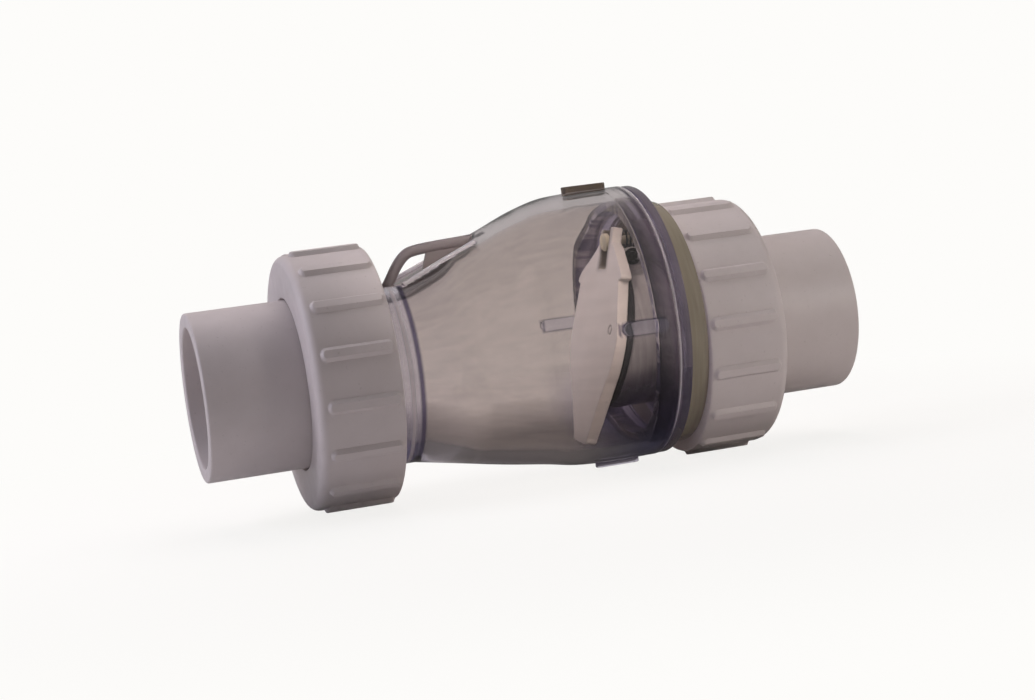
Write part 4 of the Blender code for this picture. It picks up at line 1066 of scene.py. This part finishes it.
    def execute(self, context):
        gasket_face = SEAT_X - GAP
        thick = self.gasket_thickness
        face = gasket_face - thick - GAP
        back = face - self.plate_thickness
        flap = self.moulding(face, back)
        remesh = flap.modifiers.new("soften", "REMESH")
        remesh.mode = "VOXEL"
        remesh.voxel_size = 0.00035
        relax = flap.modifiers.new("relax", "SMOOTH")
        relax.factor = 0.5
        relax.iterations = 3
        apply_modifiers(flap)
        self.paint_pocket_shade(flap, back)
        dress(flap, lit_flap_pvc(), "flap", ["flapper"])
        seat_frame = FLAP_FRAME @ Matrix.Translation((0.0, 0.0, SEAT_Z))
        self.seal(gasket_face, seat_frame)
        clamp_back = face + thick + 2 * GAP
        top = clamp_back + 0.0017
        rim, spigot = self.clamp_radius, self.gasket_bore - GAP
        plate = turned([(face + GAP, 0.0), (face + GAP, spigot), (clamp_back, spigot), (clamp_back, rim),
                        (top - 0.0005, rim), (top, rim - 0.0005), (top, 0.0)], ROUND, ORIGIN)
        plate.transform(seat_frame)
        clamp = mesh_of(plate, "clamp_plate")
        fuse(clamp, self.screw_holes(face - 0.001, top + 0.001), "DIFFERENCE")
        dress(clamp, lit_flap_pvc(), "flap", ["gasket_retainer"], 35)
        self.screws(top + GAP, face)
        return {"FINISHED"}

    def seal(self, face, seat_frame):
        """The rubber ring, with its outer rim rounded."""
        thick, round_rim = self.gasket_thickness, self.gasket_thickness / 2
        x, radius = face - round_rim, SEAT_RADIUS + 0.0015 - round_rim
        rim = [(x + round_rim * math.sin(a), radius + round_rim * math.cos(a))
               for a in np.linspace(-math.pi / 2, math.pi / 2, 11)]
        outline = [(face - thick, self.gasket_bore)] + rim + [(face, self.gasket_bore)]
        ring = turned(outline, ROUND, ORIGIN)
        ring.transform(seat_frame)
        rubber = shared(nitrile_rubber, "nitrile_rubber")
        dress(mesh_of(ring, "rubber_seal"), rubber, "flap", ["flapper_gasket"], 40)

    def screws(self, under, face):
        """Three pan head screws, from the face that their heads lie on into the flap."""
        steel = shared(drawn_stainless_steel, "drawn_stainless_steel")
        top, cross_half, cross_width = under + 0.0016, 0.0014, 0.0003
        shank, end = 0.0014, face - 0.0027
        outline = [(top, 0.0), (top, 0.0015), (top - 0.0002, 0.0022), (top - 0.0007, 0.0028),
                   (under, 0.0029), (under, shank), (end, shank), (end, 0.0)]
        for k, (y, z) in enumerate(self.screw_places(), 1):
            screw = turned(outline, FINE_ROUND, Vector((0.0, y, z)))
            screw.transform(FLAP_FRAME)
            piece = mesh_of(screw, f"pan_screw_{k}")
            cross = [block((top - 0.0008, y - a, z - b), (top + 0.001, y + a, z + b), FLAP_FRAME)
                     for a, b in ((cross_half, cross_width), (cross_width, cross_half))]
            fuse(piece, [mesh_of(cut) for cut in cross], "DIFFERENCE")
            dress(piece, steel, "flap", [f"retainer_screw_{k}"], 35)


class VALVE_OT_spring(bpy.types.Operator):
    """Makes the guide bolt and the closing spring on it"""
    bl_idname = "valve.spring"
    bl_label = "Guide bolt and spring"

    def execute(self, context):
        line = Vector((0.0, 0.0, (BOLT_LOW.z + BOLT_HIGH.z) / 2))
        head, shank = BOLT_LOW.x, BOLT_HOLE - GAP
        outline = [(head, 0.0), (head, 0.0022), (head + 0.0004, 0.0034), (head + 0.0011, 0.0040),
                   (head + 0.0027, 0.0040), (head + 0.0030, 0.0037), (head + 0.0030, shank),
                   (BOLT_HIGH.x, shank), (BOLT_HIGH.x, 0.0)]
        bolt = mesh_of(turned(outline, FINE_ROUND, line), "nylon_guide_bolt")
        slot = block((head - 0.001, -0.0005, line.z - 0.0041), (head + 0.0008, 0.0005, line.z + 0.0041))
        fuse(bolt, [mesh_of(slot)], "DIFFERENCE")
        nylon = shared(natural_nylon, "natural_nylon")
        dress(bolt, nylon, "valve_body", ["guide_bolt"], 35)
        self.spring(context.scene.valve_sizes, line)
        return {"FINISHED"}

    def spring(self, sizes, line):
        """Open coils between two closed end coils. The open flap's arm leaves it a third of its
        length."""
        wire = 0.00045
        radius = (SPRING_HIGH.y - SPRING_LOW.y) / 2 - wire - 0.00005
        low, high = SPRING_LOW.x + wire, SPRING_HIGH.x - wire
        closed_share, closed_rise = 0.10, 0.0009     # of the wire in each end coil, and its rise
        steps = int(sizes.spring_turns * 28)
        points = []
        for t in (i / steps for i in range(steps + 1)):
            ends = held(t / closed_share) + max(t - 1 + closed_share, 0.0) / closed_share
            between = held((t - closed_share) / (1 - 2 * closed_share))
            x = low + closed_rise * ends + (high - low - 2 * closed_rise) * between
            a = 2 * math.pi * sizes.spring_turns * t
            points.append((x, radius * math.sin(a), line.z + radius * math.cos(a)))
        coil = mesh_of(rod(points, wire, 10), "coil_spring")
        steel = shared(drawn_stainless_steel, "drawn_stainless_steel")
        dress(coil, steel, "valve_body", ["closing_spring"], 60)
        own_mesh(coil)


class VALVE_OT_rings(bpy.types.Operator):
    """Makes the O-rings in the faces of the two spigots"""
    bl_idname = "valve.rings"
    bl_label = "O-rings"

    def execute(self, context):
        rubber = shared(nitrile_rubber, "nitrile_rubber")
        for name, side in (("outlet", -1), ("inlet", 1)):
            low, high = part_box(name + "_o_ring")
            middle = (low.x + high.x) / 2
            cord = (high.x - low.x) / 2
            outline = [(middle + cord * math.cos(a), RING_RADIUS + cord * math.sin(a))
                       for a in (2 * math.pi * k / 16 for k in range(16))]
            ring = mesh_of(turned(outline), name + "_ring_cord")
            dress(ring, rubber, "valve_body", [name + "_o_ring"])
        return {"FINISHED"}


class VALVE_OT_stage(bpy.types.Operator):
    """Makes the pale floor, the soft lamps and the camera"""
    bl_idname = "valve.stage"
    bl_label = "Studio"

    # The camera looks from this direction at the middle of the pipe line
    azimuth_deg, elevation_deg, roll_deg = -15.65, 3.5, -7.3
    distance = 0.9233
    lens = 72.36
    offset = (0.00233, -0.00044)

    def execute(self, context):
        context.scene.view_settings.view_transform = "Standard"
        self.floor(context.scene.valve_stage)
        self.world(context.scene.valve_stage)
        self.lamps(context.scene.valve_stage)
        self.camera(context)
        return {"FINISHED"}

    def studio(self, tree, open_to_light, stage):
        """Which rays see the studio, and how bright. The eye sees paper white all round. Clear
        walls and shiny faces see it white where it is open to light, and dim elsewhere, which
        draws the dark rims of clear mouldings. Mirrored light is weaker again."""
        rays = add_node(tree, "ShaderNodeLightPath").outputs
        shiny = add_node(tree, "ShaderNodeMath", operation="MAXIMUM",
                         links={0: rays["Is Transmission Ray"], 1: rays["Is Glossy Ray"]})
        seen = add_node(tree, "ShaderNodeMath", operation="MAXIMUM",
                        links={0: shiny.outputs[0], 1: rays["Is Camera Ray"]})
        mirrored = add_node(tree, "ShaderNodeMapRange", {"To Min": 1.0, "To Max": stage.mirrored},
                            {"Value": rays["Glossy Depth"]})
        # light mirrored inside a clear wall stays whole
        whole = add_node(tree, "ShaderNodeMath", operation="MAXIMUM", use_clamp=True,
                         links={0: mirrored.outputs["Result"], 1: rays["Transmission Depth"]})
        dimmed = add_node(tree, "ShaderNodeMath", operation="MULTIPLY",
                          links={0: open_to_light, 1: whole.outputs[0]})
        through = add_node(tree, "ShaderNodeMath", {1: stage.through}, {0: dimmed.outputs[0]},
                           operation="MULTIPLY")
        bright = add_node(tree, "ShaderNodeMix", {"A": 1.0},
                          {"Factor": shiny.outputs[0], "B": through.outputs[0]})
        return seen.outputs[0], bright.outputs["Result"]

    def floor(self, stage):
        """A wide white card, shaded where the valve stands over it."""
        made, tree, place = new_material("matt_white_card")
        reach = add_node(tree, "ShaderNodeVectorMath", links={0: place}, operation="LENGTH")
        # the wide end of the bell shades the card most
        bell = add_node(tree, "ShaderNodeVectorMath", {1: (0.04, 0.0, 0.0)}, {0: place},
                        operation="DISTANCE")
        shaded = add_node(tree, "ShaderNodeMapRange",
                          {"From Min": 0.07, "From Max": 0.25, "To Min": stage.shade, "To Max": 1.0},
                          {"Value": bell.outputs["Value"]})
        seen, bright = self.studio(tree, shaded.outputs["Result"], stage)
        paper = add_node(tree, "ShaderNodeBsdfDiffuse", {"Color": hex_colour("#efedeb")})
        glow = add_node(tree, "ShaderNodeEmission", {"Color": hex_colour("#fdfcfa")}, {"Strength": bright})
        # near the valve a part of the card is plain paper, so that its shadow shows
        away = add_node(tree, "ShaderNodeMapRange",
                        {"From Min": 0.16, "From Max": 0.45, "To Min": 0.86, "To Max": 1.0},
                        {"Value": reach.outputs["Value"]}, interpolation_type="SMOOTHSTEP")
        lit = add_node(tree, "ShaderNodeMixShader", links={0: away.outputs["Result"],
                                                           1: paper.outputs["BSDF"],
                                                           2: glow.outputs["Emission"]})
        card = add_node(tree, "ShaderNodeMixShader",
                        links={0: seen, 1: paper.outputs["BSDF"], 2: lit.outputs["Shader"]})
        add_node(tree, "ShaderNodeOutputMaterial", links={"Surface": card.outputs["Shader"]})
        bm = bmesh.new()
        bmesh.ops.create_grid(bm, x_segments=1, y_segments=1, size=stage.floor_size / 2)
        floor = mesh_of(bm, "studio_floor")
        floor.data.materials.append(made)
        floor.location.z = -0.0002

    def world(self, stage):
        """White all round where it is seen, and a faint light from all round where it is not."""
        world = bpy.data.worlds.new("studio")
        bpy.context.scene.world = world
        world.use_nodes = True
        tree = world.node_tree
        tree.nodes.clear()
        direction = add_node(tree, "ShaderNodeTexCoord").outputs["Generated"]
        axes = add_node(tree, "ShaderNodeSeparateXYZ", links={"Vector": direction})
        high = add_node(tree, "ShaderNodeMapRange",
                        {"From Min": 0.50, "From Max": 0.85, "To Min": 1.0, "To Max": stage.ceiling},
                        {"Value": axes.outputs["Z"]})
        seen, bright = self.studio(tree, high.outputs["Result"], stage)
        soft = add_node(tree, "ShaderNodeBackground",
                        {"Color": hex_colour("#fbf4f0"), "Strength": stage.fill})
        white = add_node(tree, "ShaderNodeBackground", {"Color": hex_colour("#fdfcfa")}, {"Strength": bright})
        both = add_node(tree, "ShaderNodeMixShader",
                        links={0: seen, 1: soft.outputs["Background"], 2: white.outputs["Background"]})
        add_node(tree, "ShaderNodeOutputWorld", links={"Surface": both.outputs["Shader"]})

    def lamps(self, stage):
        """Soft square lamps, two of them narrowed to one end and to the flap."""
        middle, inlet = PIPE_MIDDLE, Vector((0.12, 0.0, PIPE_Z))
        flap = Vector((0.015, 0.0, PIPE_Z + 0.012))
        for name, power, colour, place, size, aim, spread_deg in (
                ("lamp_above", stage.above_power, "#fffcfc", (0.32, -0.05, 0.90), 0.7, middle, 180),
                ("lamp_behind", stage.back_power, "#fff2f2", (0.00, 0.55, 0.80), 0.7, middle, 180),
                ("lamp_left", stage.left_power, "#eff1ff", (-0.75, 0.10, 0.55), 0.5, middle, 180),
                ("lamp_low_left", stage.low_left_power, "#e6eaff", (-1.00, -0.15, 0.12), 0.5, middle, 180),
                ("lamp_right", stage.right_power, "#fffaf4", (0.45, -0.40, 0.20), 0.3, inlet, 30),
                ("lamp_flap", stage.flap_power, "#fff8f2", (-0.32, -0.42, 0.50), 0.08, flap, 8)):
            data = bpy.data.lights.new(name, "AREA")
            data.energy = power
            data.size = size
            data.spread = math.radians(spread_deg)
            data.color = hex_colour(colour)[:3]
            lamp = bpy.data.objects.new(name, data)
            bpy.context.scene.collection.objects.link(lamp)
            lamp.location = place
            lamp.visible_camera = False
            lamp.visible_glossy = False
            lamp.visible_transmission = False
            lamp.rotation_euler = (aim - Vector(place)).to_track_quat("-Z", "Y").to_euler()

    def camera(self, context):
        """The photograph's view."""
        a, e, r = (math.radians(v) for v in (self.azimuth_deg, self.elevation_deg, self.roll_deg))
        back = Vector((math.sin(a) * math.cos(e), -math.cos(a) * math.cos(e), math.sin(e)))
        level = Vector((math.cos(a), math.sin(a), 0.0))
        upright = back.cross(level)
        right = math.cos(r) * level + math.sin(r) * upright
        up = math.cos(r) * upright - math.sin(r) * level
        data = bpy.data.cameras.new("camera")
        data.lens = self.lens
        data.sensor_width = 36.0
        camera = bpy.data.objects.new("camera", data)
        context.scene.collection.objects.link(camera)
        spin = Matrix((right, up, back)).transposed().to_4x4()
        at = PIPE_MIDDLE + back * self.distance - right * self.offset[0] - up * self.offset[1]
        camera.matrix_world = Matrix.Translation(at) @ spin
        context.scene.camera = camera


PIECE_OPERATORS = (VALVE_OT_tails, VALVE_OT_nuts, VALVE_OT_bell, VALVE_OT_cap, VALVE_OT_seat_tube,
                   VALVE_OT_hinge, VALVE_OT_flap, VALVE_OT_spring, VALVE_OT_rings, VALVE_OT_stage)


class VALVE_PT_panel(bpy.types.Panel):
    """Lists the valve's pieces and settings"""
    bl_idname = "VALVE_PT_panel"
    bl_label = "Swing check valve"
    bl_space_type = "VIEW_3D"
    bl_region_type = "UI"
    bl_category = "Valve"

    def draw(self, context):
        for group in (context.scene.valve_sizes, context.scene.valve_colours, context.scene.valve_stage):
            column = self.layout.column()
            for name in group.bl_rna.properties.keys():
                if name not in ("rna_type", "name"):
                    column.prop(group, name)
        for operator in PIECE_OPERATORS:
            self.layout.operator(operator.bl_idname)


CLASSES = (ValveSizes, ValveColours, ValveStage, *PIECE_OPERATORS, VALVE_PT_panel)


def register():
    for cls in CLASSES:
        bpy.utils.register_class(cls)
    bpy.types.Scene.valve_sizes = PointerProperty(type=ValveSizes)
    bpy.types.Scene.valve_colours = PointerProperty(type=ValveColours)
    bpy.types.Scene.valve_stage = PointerProperty(type=ValveStage)


def unregister():
    del bpy.types.Scene.valve_stage
    del bpy.types.Scene.valve_colours
    del bpy.types.Scene.valve_sizes
    for cls in reversed(CLASSES):
        bpy.utils.unregister_class(cls)


def main():
    register()
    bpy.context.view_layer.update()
    for operator in PIECE_OPERATORS:
        group, name = operator.bl_idname.split(".")
        getattr(getattr(bpy.ops, group), name)()


if __name__ == "__main__":
    main()
